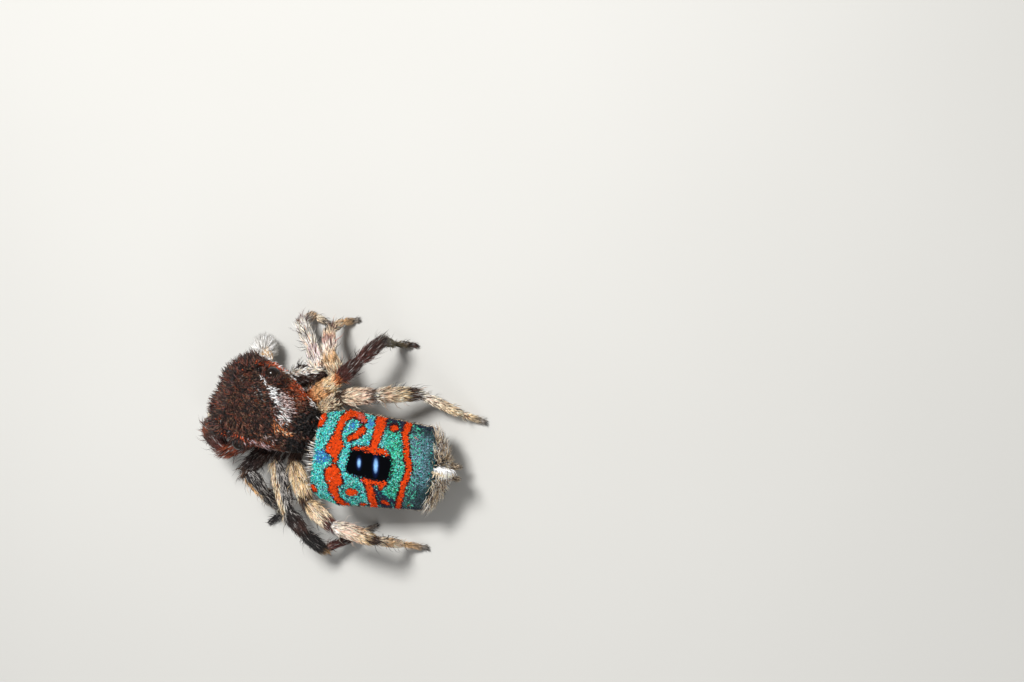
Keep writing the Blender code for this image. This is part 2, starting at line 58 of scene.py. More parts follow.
# Camera. It looks down on the back from above the rear left, turned so that the head points to the left
# of the picture and a little down. The long lens keeps the small body free of perspective.
MM = 0.001
PLAN_MIDDLE = np.array((-0.19, 0.956, 0.0))
PLATE_FRONT = np.array((0.0, 1.0, 1.62))
PICTURE_SCALE = 58.0
PICTURE_WIDTH = 1024.0
FILM_WIDTH = 36.0
PICTURE_MIDDLE = np.array((512.0, 341.0))
PLATE_FRONT_IN_PICTURE = np.array((312.5, 456.0))
azimuth, elevation, roll = math.radians(200), math.radians(70), math.radians(-100.99)
back = Vector(
    (
        math.sin(azimuth) * math.cos(elevation),
        -math.cos(azimuth) * math.cos(elevation),
        math.sin(elevation),
    )
)
level = Vector((math.cos(azimuth), math.sin(azimuth), 0.0))
above = back.cross(level)
picture_right = level * math.cos(roll) + above * math.sin(roll)
picture_up = back.cross(picture_right)
across, down = (PICTURE_MIDDLE - PLATE_FRONT_IN_PICTURE) / PICTURE_SCALE
aim = Vector(PLATE_FRONT - PLAN_MIDDLE) + picture_right * across - picture_up * down
lens = 150.0
reach = PICTURE_WIDTH / PICTURE_SCALE * lens / FILM_WIDTH
spot = (aim + back * reach) * MM
camera = bpy.data.objects.new("camera", bpy.data.cameras.new("camera"))
bpy.context.scene.collection.objects.link(camera)
camera.matrix_world = Matrix(
    (
        (picture_right.x, picture_up.x, back.x, spot.x),
        (picture_right.y, picture_up.y, back.y, spot.y),
        (picture_right.z, picture_up.z, back.z, spot.z),
        (0.0, 0.0, 0.0, 1.0),
    )
)
camera.data.lens = lens
camera.data.clip_start, camera.data.clip_end = 0.001, 10.0
bpy.context.scene.camera = camera

# Floor and lights. The spider stands on a plain pale sheet under one broad soft lamp, with a weaker one
# from the other side and an even pale room round it.
bpy.context.scene.view_settings.view_transform = "Standard"


class Finish:
    """A material with a Principled shader, built by adding nodes from their type, settings and inputs."""

    def __init__(self, name, roughness=0.5, **fixed):
        self.material = bpy.data.materials.new(name)
        self.material.use_nodes = True
        self.tree = self.material.node_tree
        self.shader = self.tree.nodes["Principled BSDF"]
        self.shader.inputs["Roughness"].default_value = roughness
        for socket, value in fixed.items():
            self.shader.inputs[socket.replace("_", " ")].default_value = value

    def node(self, kind, settings, inputs, output=0):
        made = self.tree.nodes.new(kind)
        for key, value in settings.items():
            setattr(made, key, value)
        for key, value in inputs.items():
            if isinstance(value, bpy.types.NodeSocket):
                self.tree.links.new(value, made.inputs[key])
            else:
                made.inputs[key].default_value = value
        return made.outputs[output]

    def feed(self, name, output):
        self.tree.links.new(output, self.shader.inputs[name])

    def noise(self, size_mm, detail=3.0):
        """Soft noise whose blotches are about size_mm across."""
        place = self.node("ShaderNodeTexCoord", {}, {}, "Object")
        inputs = {"Vector": place, "Scale": 1.0 / (size_mm * MM), "Detail": detail}
        return self.node("ShaderNodeTexNoise", {}, inputs)

    def ramp(self, factor, low, high, start=0.0, end=1.0):
        """A number that rises from low to high while the factor goes from start to end."""
        inputs = {"Value": factor, "From Min": start, "From Max": end, "To Min": low, "To Max": high}
        return self.node("ShaderNodeMapRange", {}, inputs)

    def tint(self, colour, other, factor, blend="MIX"):
        settings = {"data_type": "RGBA", "blend_type": blend}
        return self.node("ShaderNodeMix", settings, {0: factor, 6: colour, 7: other}, 2)

    def bump(self, height, depth_mm):
        inputs = {"Height": height, "Distance": depth_mm * MM}
        self.feed("Normal", self.node("ShaderNodeBump", {}, inputs))


def srgb(red, green, blue):
    """A colour as read off a screen, in the linear values that materials take."""
    values = (red / 255, green / 255, blue / 255)
    return np.array(
        [value / 12.92 if value <= 0.04045 else ((value + 0.055) / 1.055) ** 2.4 for value in values]
    )


def fresh():
    """Leaves nothing selected, so that the next operator acts only on what it adds."""
    if bpy.context.object and bpy.context.object.mode != "OBJECT":
        bpy.ops.object.mode_set(mode="OBJECT")
    bpy.ops.object.select_all(action="DESELECT")


fresh()
FLOOR_SIZE = 0.4
bpy.ops.mesh.primitive_plane_add(size=FLOOR_SIZE, location=(0, 0, 0))
floor = bpy.context.object
floor.name = "floor"
sheet = Finish("pale sheet", 0.8)
SHEET_TONES = (0.52, 0.51, 0.48, 1.0), (0.57, 0.56, 0.53, 1.0)
sheet.feed("Base Color", sheet.tint(*SHEET_TONES, sheet.noise(9.0, 2.0)))
floor.data.materials.append(sheet.material)
for name, place, size, power in (
    ("key", (-16.0, -6.0, 34.0), 10.0, 0.0185),
    ("fill", (22.0, 14.0, 20.0), 20.0, 0.0020),
):
    lamp = bpy.data.objects.new(name, bpy.data.lights.new(name, "AREA"))
    bpy.context.scene.collection.objects.link(lamp)
    lamp.location = Vector(place) * MM
    lamp.rotation_euler = (-lamp.location).to_track_quat("-Z", "Y").to_euler()
    lamp.data.size = size * MM
    lamp.data.energy = power
room = bpy.data.worlds.new("room")
bpy.context.scene.world = room
room.use_nodes = True
room.node_tree.nodes["Background"].inputs["Color"].default_value = (0.95, 0.97, 1.0, 1.0)
room.node_tree.nodes["Background"].inputs["Strength"].default_value = 0.30

# Head and thorax shield. One hard shell, broad and flat-topped between the eyes, that narrows to the waist.
# It is moulded in one piece with a low rim round each of the eight eyes, under a velvet of short hair.
HEAD_ORIGIN = np.array((-0.462, 0.12, 0.528))
yaw, pitch = math.radians(19), math.radians(8)
HEAD_FORWARD = np.array(
    (-math.sin(yaw) * math.cos(pitch), -math.cos(yaw) * math.cos(pitch), -math.sin(pitch))
)
HEAD_RIGHT = np.array((-math.cos(yaw), math.sin(yaw), 0.0))
HEAD_UP = np.cross(HEAD_RIGHT, HEAD_FORWARD) * -1.0
HEAD_UP = HEAD_UP * np.sign(HEAD_UP[2])
SHIELD_SLICES = np.array((
    (-0.80, 0.18, 0.40), (-0.74, 0.29, 0.51), (-0.60, 0.39, 0.68), (-0.38, 0.48, 0.86),
    (-0.10, 0.60, 1.00), (0.20, 0.70, 1.07), (0.50, 0.745, 1.09), (0.80, 0.74, 1.05), (0.98, 0.68, 0.98),
    (1.06, 0.60, 0.92),
))
SHIELD_RIM = 0.30
HEAD_HAIRS = 16500
HEAD_HAIR_LENGTH = 0.088
EYE_RING = 0.06
HEAD_GRAIN, LEG_GRAIN, PALP_GRAIN, FINE_GRAIN = 0.018, 0.015, 0.012, 0.010
FREE_OF_EYES, FREE_OF_REAR_EYES = 0.006, 0.024
EYES = {
    "eye_front_median": ((0.95, 0.265, 0.72), 0.24, 4),
    "eye_front_lateral": ((0.84, 0.625, 0.80), 0.15, 38),
    "eye_middle_small": ((0.55, 0.635, 0.90), 0.045, 80),
    "eye_rear": ((0.28, 0.685, 0.90), 0.125, 90),
}
EYE_LIFTS = {"eye_front_median": 0.05, "eye_front_lateral": 0.15, "eye_middle_small": 0.7, "eye_rear": 0.75}


def placer(origin, forward_way, right_way, up_way):
    """Gives a function that finds places from how far forward, right and up of an origin they lie."""

    def place(forward, right, up):
        parts = np.broadcast_arrays(forward, right, up)
        f, r, u = (np.asarray(part, float)[..., None] for part in parts)
        return origin + f * forward_way + r * right_way + u * up_way

    return place


on_head = placer(HEAD_ORIGIN, HEAD_FORWARD, HEAD_RIGHT, HEAD_UP)


def in_head(points):
    offset = points - HEAD_ORIGIN
    return offset @ HEAD_FORWARD, offset @ HEAD_RIGHT, offset @ HEAD_UP


def unit(vectors):
    return vectors / np.maximum(np.linalg.norm(vectors, axis=-1, keepdims=True), 1e-9)


def points_of(obj, field="co"):
    found = np.empty(len(obj.data.vertices) * 3)
    obj.data.vertices.foreach_get(field, found)
    return found.reshape(-1, 3)


def move_points(obj, points):
    obj.data.vertices.foreach_set("co", np.asarray(points, float).ravel())
    obj.data.update()


def apply_all(obj):
    fresh()
    obj.select_set(True)
    bpy.context.view_layer.objects.active = obj
    for modifier in list(obj.modifiers):
        bpy.ops.object.modifier_apply(modifier=modifier.name)


def joined(name, parts):
    fresh()
    for part in parts:
        part.select_set(True)
    bpy.context.view_layer.objects.active = parts[0]
    if len(parts) > 1:
        bpy.ops.object.join()
    bpy.context.object.name = name
    return bpy.context.object


def fuse(name, parts, voxel, rounds):
    """Joins overlapping closed forms into one smooth skin."""
    skin = joined(name, parts)
    remesh = skin.modifiers.new("one skin", "REMESH")
    remesh.mode = "VOXEL"
    remesh.voxel_size = voxel
    smooth = skin.modifiers.new("soft edges", "SMOOTH")
    smooth.factor = 0.5
    smooth.iterations = rounds
    apply_all(skin)
    return skin


def ball(radius, place, segments=32, rings=20):
    fresh()
    bpy.ops.mesh.primitive_uv_sphere_add(segments=segments, ring_count=rings, radius=radius, location=place)
    bpy.ops.object.transform_apply(location=True, rotation=True, scale=True)
    return bpy.context.object


def shaped_shell(slices, section, cap=20.0, segments=72, rings=60):
    """A ball drawn out along the rows of a table, where section places a ring's points."""
    obj = ball(1.0, (0, 0, 0), segments, rings)
    points = points_of(obj)
    polar = np.degrees(np.arccos(np.clip(points[:, 2], -1, 1)))
    spread = np.minimum(1.0, np.minimum(polar, 180 - polar) / cap)
    share = np.clip((180 - cap - polar) / (180 - 2 * cap), 0, 1)
    along = slices[0, 0] + share * (slices[-1, 0] - slices[0, 0])
    sizes = [np.interp(along, slices[:, 0], slices[:, k]) for k in range(1, slices.shape[1])]
    turn = np.arctan2(points[:, 1], points[:, 0])
    move_points(obj, section(along, turn, spread, *sizes))
    return obj


def rounded(turn, power):
    cosine, sine = np.cos(turn), np.sin(turn)
    return (
        np.sign(cosine) * np.abs(cosine) ** (2 / power),
        np.sign(sine) * np.abs(sine) ** (2 / power),
    )


def shield_section(along, turn, spread, half, top):
    across, rise = rounded(turn, 2.6)
    middle = SHIELD_RIM + (top - SHIELD_RIM) * 0.4
    height = np.where(rise > 0, SHIELD_RIM + (top - SHIELD_RIM) * rise, SHIELD_RIM + 0.05 * rise)
    right = half * across * spread * (0.94 + 0.06 * rise)
    return on_head(along, right, middle + (height - middle) * spread)


def eye_axis(name, side):
    turn = math.radians(EYES[name][2])
    level_way = HEAD_FORWARD * math.cos(turn) + HEAD_RIGHT * side * math.sin(turn)
    return unit(level_way + HEAD_UP * EYE_LIFTS[name])


forms = [shaped_shell(SHIELD_SLICES, shield_section)]
for name, ((forward, right, up), radius, _) in EYES.items():
    for side in (1, -1):
        axis = eye_axis(name, side)
        centre = on_head(forward, side * right, up) - axis * radius * 0.25
        fresh()
        bpy.ops.mesh.primitive_cone_add(
            vertices=40,
            radius1=radius * 1.42,
            radius2=radius * 1.14,
            depth=radius * 1.2,
            location=centre,
            rotation=Vector(axis).to_track_quat("Z", "Y").to_euler(),
        )
        bpy.ops.object.transform_apply(location=True, rotation=True, scale=True)
        forms.append(bpy.context.object)
shield = fuse("head_shield", forms, HEAD_GRAIN, 4)


def samples(obj, count, rng):
    """Even random points over a skin, with the way out at each."""
    fans = []
    for polygon in obj.data.polygons:
        ring = list(polygon.vertices)
        start = ring.index(min(ring))
        ring = ring[start:] + ring[:start]
        fans += [(ring[0], ring[k], ring[k + 1]) for k in range(1, len(ring) - 1)]
    corners = np.array(sorted(fans))
    points = points_of(obj)
    a, b, c = (points[corners[:, k]] for k in range(3))
    facing = np.cross(b - a, c - a)
    area = np.linalg.norm(facing, axis=1)
    pick = rng.choice(len(corners), count, p=area / area.sum())
    s, t = rng.random(count), rng.random(count)
    over = s + t > 1
    s[over], t[over] = 1 - s[over], 1 - t[over]
    spots = a[pick] + (b - a)[pick] * s[:, None] + (c - a)[pick] * t[:, None]
    return spots, unit(facing[pick])


def paint(obj, colours):
    """Stores a colour at every point of a mesh, for its finish to read."""
    layer = obj.data.color_attributes.new("Colour", "FLOAT_COLOR", "POINT")
    layer.data.foreach_set("color", np.column_stack((colours, np.ones(len(colours)))).ravel())


def settle(obj, finish, slot, *nodes):
    """Brings a piece from the plan in millimetres to its place in metres and puts it on the spider."""
    obj.data.transform(Matrix.Scale(MM, 4) @ Matrix.Translation(-Vector(PLAN_MIDDLE)))
    obj.data.materials.clear()
    obj.data.materials.append(finish.material)
    obj.data.shade_smooth()
    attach(obj, "root")
    if nodes:
        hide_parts(*nodes)


PATCH_HALF = 0.0015
BLADE_FACES = np.array((
    (0, 2, 1), (0, 1, 4), (0, 4, 3), (1, 2, 5), (1, 5, 4),
    (2, 0, 3), (2, 3, 5), (3, 4, 6), (4, 5, 6), (5, 3, 6),
))
BLADE_PATCH = np.array(((-1, -1), (1, -1), (0, -0.8), (-0.7, 0), (0.7, 0), (0, 0.2), (0, 1))) * PATCH_HALF
SCALE_FACES = np.array((
    (0, 1, 3), (0, 3, 2), (0, 4, 1), (0, 2, 4), (1, 5, 3), (3, 5, 2), (4, 5, 1), (2, 5, 4),
))
SCALE_PATCH = np.array(((0, -1), (-1, 0), (1, 0), (-0.2, 0.1), (0.2, -0.1), (0, 1))) * PATCH_HALF
HAIR = BLADE_FACES, BLADE_PATCH
SCALE = SCALE_FACES, SCALE_PATCH


def blades(roots, outward, lies, length, width, lift):
    """Seven points a hair: a three-sided root, a three-sided knee where it bends over, and its tip."""
    length, width, lift = (np.broadcast_to(value, len(roots))[:, None] for value in (length, width, lift))
    lies = unit(lies - outward * (lies * outward).sum(1, keepdims=True))
    first = lies * np.cos(lift) + outward * np.sin(lift)
    second = lies * np.cos(lift * 0.35) + outward * np.sin(lift * 0.35)
    beside = unit(np.cross(lies, outward))
    crest = unit(np.cross(beside, first))
    base = roots - outward * width * 0.6
    knee = roots + first * length * 0.5
    tip = knee + second * length * 0.5
    rows = [
        base - beside * width * 0.5,
        base + beside * width * 0.5,
        base + crest * width * 0.4,
        knee - beside * width * 0.42,
        knee + beside * width * 0.42,
        knee + crest * width * 0.3,
        tip,
    ]
    return np.stack(rows, 1)


def hairs(rng, roots, outward, lies, sway, length, spread, width, lift):
    """Hairs of one kind, each a little off the common lie, length and lift."""
    count = len(roots)
    lies = lies + rng.normal(0, sway, (count, 3))
    length = length * rng.uniform(*spread, count)
    return blades(roots, outward, lies, length, width, rng.uniform(*lift, count))


def flat_scales(roots, outward, lies, length, width, lift):
    """Six points a scale: its root, its two sides, a low ridge above and below, and its tip."""
    length, width, lift = (np.broadcast_to(value, len(roots))[:, None] for value in (length, width, lift))
    lies = unit(lies - outward * (lies * outward).sum(1, keepdims=True))
    along = lies * np.cos(lift) + outward * np.sin(lift)
    beside = unit(np.cross(lies, outward))
    crest = unit(np.cross(beside, along))
    middle = roots + along * length * 0.55
    rows = [
        roots - outward * 0.004,
        middle - beside * width * 0.5,
        middle + beside * width * 0.5,
        middle + crest * width * 0.10,
        middle - crest * width * 0.10,
        roots + along * length,
    ]
    return np.stack(rows, 1)


def mottled(rng, count, shares, shades, low, high):
    """A shade for each hair, picked at the running shares, then made a little darker or lighter."""
    pick = np.searchsorted(shares, rng.random(count), side="right")
    return np.array(shades)[pick] * rng.uniform(low, high, (count, 1))


FLOOR_GAP = 0.012
BOX_LOW = np.array(cad_low) / MM + PLAN_MIDDLE - (0.09, 0.11, 0.0)
BOX_HIGH = np.array(cad_high) / MM + PLAN_MIDDLE + (0.09, 0.11, 0.04)


def coat(name, shapes, colours, unwrap, finish, slot, tip_shade=1.0, form=HAIR):
    """Joins many small closed hairs or scales into one piece, with a bake patch for each at its root."""
    faces, patch = form
    clear = (shapes > BOX_LOW).all((1, 2)) & (shapes < BOX_HIGH).all((1, 2))
    clear &= shapes[:, :, 2].min(1) > FLOOR_GAP
    shapes, colours, unwrap = shapes[clear], colours[clear], unwrap[clear]
    count, size = shapes.shape[:2]
    corners = (faces[None] + np.arange(count)[:, None, None] * size).reshape(-1)
    first, second, third = (shapes[:, faces[:, k]] for k in range(3))
    facing = np.cross(second - first, third - first)
    if (facing * (shapes[:, faces].mean(2) - shapes.mean(1)[:, None])).sum() < 0:
        corners = corners.reshape(-1, 3)[:, ::-1].reshape(-1)
    mesh = bpy.data.meshes.new(name)
    mesh.vertices.add(count * size)
    mesh.vertices.foreach_set("co", shapes.ravel())
    mesh.loops.add(len(corners))
    mesh.loops.foreach_set("vertex_index", corners)
    mesh.polygons.add(len(corners) // 3)
    mesh.polygons.foreach_set("loop_start", np.arange(0, len(corners), 3))
    mesh.update(calc_edges=True)
    obj = bpy.data.objects.new(name, mesh)
    bpy.context.scene.collection.objects.link(obj)
    spread = np.repeat(np.clip(colours, 0, 1), size, 0).reshape(count, size, 3)
    spread[:, -1] = np.clip(spread[:, -1] * tip_shade, 0, 1)
    paint(obj, spread.reshape(-1, 3))
    layer = mesh.uv_layers.new(name="OFBake")
    places = (np.clip(unwrap, 0.004, 0.996)[:, None] + patch[None]).reshape(-1, 2)
    layer.data.foreach_set("uv", places[corners].ravel())
    settle(obj, finish, slot)


DARK_BROWN = srgb(58, 36, 28)
PLUM = srgb(92, 54, 50)
RUST = srgb(136, 66, 36)
DUN = srgb(112, 88, 72)
ROSY = srgb(164, 116, 104)
ORANGE = srgb(222, 88, 34)
TAN_ORANGE = srgb(205, 120, 66)
SNOW = srgb(250, 246, 240)
PINK_WHITE = srgb(224, 196, 200)
LILAC = srgb(206, 184, 180)
SOOT = srgb(20, 15, 14)
FAWN = srgb(176, 142, 112)
CREAM = srgb(255, 230, 196)


def along_line(x, y, line):
    """How far points lie outside a drawn line, whose rows are two places and half its breadth there."""
    best = np.full(np.shape(x), 9.0)
    for (ax, ay, ar), (bx, by, br) in zip(line, line[1:]):
        dx, dy = bx - ax, by - ay
        share = np.clip(((x - ax) * dx + (y - ay) * dy) / max(dx * dx + dy * dy, 1e-9), 0, 1)
        far = np.hypot(x - ax - dx * share, y - ay - dy * share)
        best = np.minimum(best, far - (ar + (br - ar) * share))
    return best


def blotches(points, size, rng):
    """A random number for each small cell of space, so that neighbours share a tone."""
    cells = np.floor(points / size).astype(int) % 64
    return rng.random((64, 64, 64))[cells[:, 0], cells[:, 1], cells[:, 2]]


def eye_gap(points, names):
    """How far points lie from the nearest of the named eyes, in millimetres."""
    nearest = np.full(len(points), 9.0)
    for name in names:
        (forward, right, up), radius, _ = EYES[name]
        for side in (1, -1):
            far = np.linalg.norm(points - on_head(forward, side * right, up), axis=1) - radius
            nearest = np.minimum(nearest, far)
    return nearest


HEAD_MARKS = (
    ("both", ((0.66, 0.70, 0.04), (0.46, 0.67, 0.07), (0.40, 0.63, 0.05)), ORANGE, 0.55),
    ("right", ((0.16, 0.64, 0.04), (-0.02, 0.58, 0.06), (-0.24, 0.52, 0.06)), RUST, 0.6),
    ("right", ((0.10, 0.62, 0.02), (-0.10, 0.58, 0.03), (-0.24, 0.52, 0.03)), ORANGE, 0.45),
    ("left", ((0.34, 0.60, 0.04), (0.12, 0.60, 0.06), (0.02, 0.60, 0.04)), ORANGE, 0.55),
    ("left", ((0.10, 0.52, 0.06), (-0.16, 0.50, 0.09), (-0.28, 0.44, 0.06)), RUST, 0.6),
    ("left", ((0.20, 0.60, 0.05), (-0.10, 0.54, 0.08)), ROSY * 1.3, 0.35),
    ("left", ((0.12, 0.56, 0.05), (-0.10, 0.52, 0.08)), PINK_WHITE, 0.35),
    ("left", ((-0.06, 0.28, 0.03), (-0.22, 0.36, 0.05)), LILAC * 0.75, 0.45),
    ("right", ((0.02, 0.42, 0.04), (-0.10, 0.40, 0.09), (-0.20, 0.24, 0.13), (-0.27, 0.08, 0.08)),
     LILAC, 0.66),
    ("right", ((-0.18, 0.26, 0.04), (-0.27, 0.12, 0.06)), SNOW, 0.7),
    ("right", ((0.36, 0.585, 0.02), (0.24, 0.50, 0.026), (0.12, 0.41, 0.034), (-0.05, 0.31, 0.034)),
     SNOW * 1.3, 1.0),
    ("right", ((-0.20, 0.44, 0.025), (-0.36, 0.32, 0.03)), RUST, 0.8),
    ("right", ((-0.18, -0.04, 0.05), (-0.42, -0.10, 0.05)), TAN_ORANGE * 1.2, 0.65),
    ("right", ((-0.24, -0.06, 0.04), (-0.44, -0.13, 0.04)), CREAM, 0.22),
)
SKIN_SHADE = {"head": 0.4, "abdomen": 0.5, "leg": 0.7, "palp": 0.6}


def head_colours(points, outward, rng, loose):
    """Speckled dark velvet, orange, white and lilac marks behind the eyes, and a black painted shade at the
    rear.
    """
    f, r, u = in_head(points)
    f = f + rng.normal(0, loose, len(f))
    r = r + rng.normal(0, loose, len(r))
    dice = 0.5 * blotches(points, 0.055, rng) + 0.5 * rng.random(len(f))
    levels = np.searchsorted((0.33, 0.50, 0.64, 0.78, 0.87), dice)
    colour = np.array((SOOT, DARK_BROWN, PLUM, DUN, RUST * 0.8, ROSY * 0.8))[levels]
    colour = colour * rng.uniform(0.6, 1.15, (len(f), 1)) * (1.0, 0.90, 0.74)
    ahead = outward @ HEAD_FORWARD

    def mark(where, paint_colour, share=1.0):
        hit = where & (rng.random(len(f)) < share)
        colour[hit] = paint_colour * rng.uniform(0.75, 1.25, (hit.sum(), 1))

    mark((u < 0.70) & (f > -0.3), FAWN, 0.30)
    mark((u < 0.44) & (f > -0.5), SNOW, 0.60)
    sides = {"both": np.abs(r), "right": r, "left": -r}
    for side, line, shade, share in HEAD_MARKS:
        mark(along_line(f, sides[side], line) < 0, shade, share)
    # Painted shade: the rear slope of the shield, down towards the waist, is painted black, apart from a
    # thin stripe near the middle.
    mark((f < -0.44) & (np.abs(r + 0.07) > 0.05), SOOT, 0.95)
    face = (eye_gap(points, ("eye_front_median", "eye_front_lateral")) < 0.12) & (ahead > 0.35)
    mark(face & (u > 0.70) & (u < 0.98), ORANGE, 0.65)
    mark(face & (u <= 0.70), CREAM, 0.75)
    mark((u < 0.50) & (ahead > 0.5), SNOW, 0.9)
    mark(eye_gap(points, EYES) < 0.016, SOOT * 0.4)
    return np.clip(colour, 0, 1)


def hairy(name, roughness, grain_mm):
    """Hair reads its own colour, a little uneven, with a soft gloss."""
    finish = Finish(name, roughness)
    own = finish.node("ShaderNodeAttribute", {"attribute_name": "Colour"}, {}, "Color")
    shade = finish.ramp(finish.noise(grain_mm), 0.75, 1.2, 0.3, 0.7)
    grey = finish.node("ShaderNodeCombineColor", {}, {0: shade, 1: shade, 2: shade})
    finish.feed("Base Color", finish.tint(own, grey, 1.0, "MULTIPLY"))
    return finish


def chitin(name, roughness, grain_mm, depth_mm):
    """Hard skin that reads its own colour, under fine pits and wrinkles."""
    finish = hairy(name, roughness, grain_mm * 2)
    finish.bump(finish.noise(grain_mm, 4.0), depth_mm)
    return finish


rng = np.random.default_rng(11)
shield_skin = chitin("head skin", 0.45, 0.03, 0.004)
head_hair = hairy("head hair", 0.5, 0.10)
spots, outward = samples(shield, HEAD_HAIRS, rng)
gap = eye_gap(spots, EYES)
f, r, u = in_head(spots)
keep = (outward @ HEAD_UP > -0.3) & (u > 0.27) & (gap > FREE_OF_EYES)
keep &= eye_gap(spots, ("eye_rear",)) > FREE_OF_REAR_EYES
spots, outward, gap, f, r, u = (values[keep] for values in (spots, outward, gap, f, r, u))
ahead = outward @ HEAD_FORWARD
lies = np.where(
    (ahead > 0.5)[:, None],
    -HEAD_UP + HEAD_RIGHT * (r * 0.6)[:, None],
    -HEAD_FORWARD + HEAD_RIGHT * (r * 0.7)[:, None] - HEAD_UP * 0.1,
)
lies = lies + rng.normal(0, 0.38, spots.shape)
for (forward, right, up), radius, _ in EYES.values():
    for side in (1, -1):
        centre = on_head(forward, side * right, up)
        ring = np.linalg.norm(spots - centre, axis=1) < radius + EYE_RING
        lies[ring] = (spots - centre)[ring] + rng.normal(0, 0.05, (ring.sum(), 3))
size = np.where(gap < EYE_RING, 0.75, 1.0) * rng.uniform(0.65, 1.35, len(spots))
colour = head_colours(spots, outward, rng, 0.022)
length = HEAD_HAIR_LENGTH * size * np.where(colour.min(1) > 0.25, 1.2, 1.0)
shapes = blades(spots, outward, lies, length, 0.021, rng.uniform(0.30, 0.8, len(spots)))
unwrap = np.column_stack((np.arctan2(u - 0.3, r) / math.pi, (f + 0.85) / 2.0))
coat("head_coat", shapes, colour, unwrap, head_hair, "cuticle", 1.15)

pick = rng.random(len(spots)) < np.where((ahead > 0.1) | (np.abs(r) > 0.5), 0.045, 0.012)
pick &= u > 0.55
lies = HEAD_FORWARD * 0.8 + HEAD_RIGHT * (r[pick] * 0.9)[:, None]
shapes = hairs(rng, spots[pick], outward[pick], lies, 0.4, 1.0, (0.12, 0.21), 0.010, (0.7, 1.2))
colour = mottled(rng, len(shapes), (0.75,), (SOOT, RUST), 0.7, 1.3)
coat("head_bristles", shapes, colour, unwrap[pick], head_hair, "cuticle")

brow = (u > 0.90) & (ahead > 0.02) & (f > 0.70) | (np.abs(r) > 0.52) & (u > 0.72) & (f > 0.0)
brow &= gap > 0.02
lies = HEAD_FORWARD * np.where(f > 0.45, 1.0, -0.2)[:, None] + HEAD_RIGHT * (r * 1.2)[:, None]
lies = lies[brow] + HEAD_UP * 0.1
length = np.where(f[brow] > 0.7, 0.19, 0.14)
shapes = hairs(rng, spots[brow], outward[brow], lies, 0.25, length, (0.7, 1.1), 0.019, (0.05, 0.60))
brow_shades = SOOT, DARK_BROWN, PLUM, RUST, DUN
colour = mottled(rng, len(shapes), (0.22, 0.52, 0.76, 0.84), brow_shades, 0.7, 1.15)
coat("head_brow", shapes, colour, unwrap[brow], head_hair, "cuticle", 1.1)

fringe = (ahead > 0.55) & (u < 0.56) & (u > 0.36) & (rng.random(len(spots)) < 0.5)
lies = -HEAD_UP + HEAD_FORWARD * 0.35
shapes = hairs(rng, spots[fringe], outward[fringe], lies, 0.14, 1.0, (0.12, 0.20), 0.018, (0.1, 0.5))
colour = SNOW * rng.uniform(0.75, 1.0, (len(shapes), 1))
coat("face_fringe", shapes, colour, unwrap[fringe], head_hair, "cuticle")

colour = head_colours(points_of(shield), points_of(shield, "normal"), np.random.default_rng(1), 0.01)
paint(shield, colour * SKIN_SHADE["head"])
settle(shield, shield_skin, "cuticle", "carapace")

# Eyes. Eight single lenses of black glass-like cuticle, two of them very large, each set in its rim.
# They are turned true and polished, so that each holds one clear highlight.
lens_finish = Finish("eye lens", 0.05, IOR=1.34)
depth_tone = lens_finish.ramp(lens_finish.noise(0.20, 1.0), 0.0, 1.0, 0.35, 0.65)
LENS_TONES = (0.004, 0.003, 0.004, 1.0), (0.016, 0.009, 0.006, 1.0)
lens_finish.feed("Base Color", lens_finish.tint(*LENS_TONES, depth_tone))
SIDES = (1, "right"), (-1, "left")
for name, ((forward, right, up), radius, _) in EYES.items():
    for side, side_name in SIDES:
        eye = ball(radius, on_head(forward, side * right, up), 48, 28)
        eye.name = f"{name}_{side_name}_lens"
        settle(eye, lens_finish, "eye", f"{name}_{side_name}")

# Plate of the abdomen. A stiff shield over the soft bag, arched across and turned down at its edges.
# It sits fast on the bag, and carries the bright pattern in its own skin under the scales.
slope = math.radians(18)
BAG_FORWARD = np.array((0.0, -math.cos(slope), math.sin(slope)))
BAG_RIGHT = np.array((-1.0, 0.0, 0.0))
BAG_UP = np.array((0.0, math.sin(slope), math.cos(slope)))
on_bag = placer(PLATE_FRONT, BAG_FORWARD, BAG_RIGHT, BAG_UP)
PLATE_LENGTH = 2.12
PLATE_SAG = 0.36
PLATE_WALL = 0.055
SCALE_BED = 0.006
SCALE_GRID = 190, 124
PLATE_WIDTHS = np.array((
    (0, 0.66), (0.1, 0.76), (0.25, 0.84), (0.42, 0.80), (0.6, 0.775), (0.8, 0.745), (1.0, 0.715),
))


def in_bag(points):
    """Distance back from the plate's front edge, out to the spider's right, and above the plate line."""
    offset = points - PLATE_FRONT
    return -(offset @ BAG_FORWARD), offset @ BAG_RIGHT, offset @ BAG_UP


def plate_half(share):
    return np.interp(share, PLATE_WIDTHS[:, 0], PLATE_WIDTHS[:, 1])


def on_plate(share, across, depth):
    share = share + 0.015 * across**6 * (1 - 3 * share)
    sag = PLATE_SAG * np.abs(across) ** 3
    ends = 0.08 * np.maximum(0, 1 - share / 0.12) ** 2 + 0.12 * np.maximum(0, (share - 0.88) / 0.12) ** 2
    return on_bag(-share * PLATE_LENGTH, plate_half(share) * across, -sag - ends - depth)


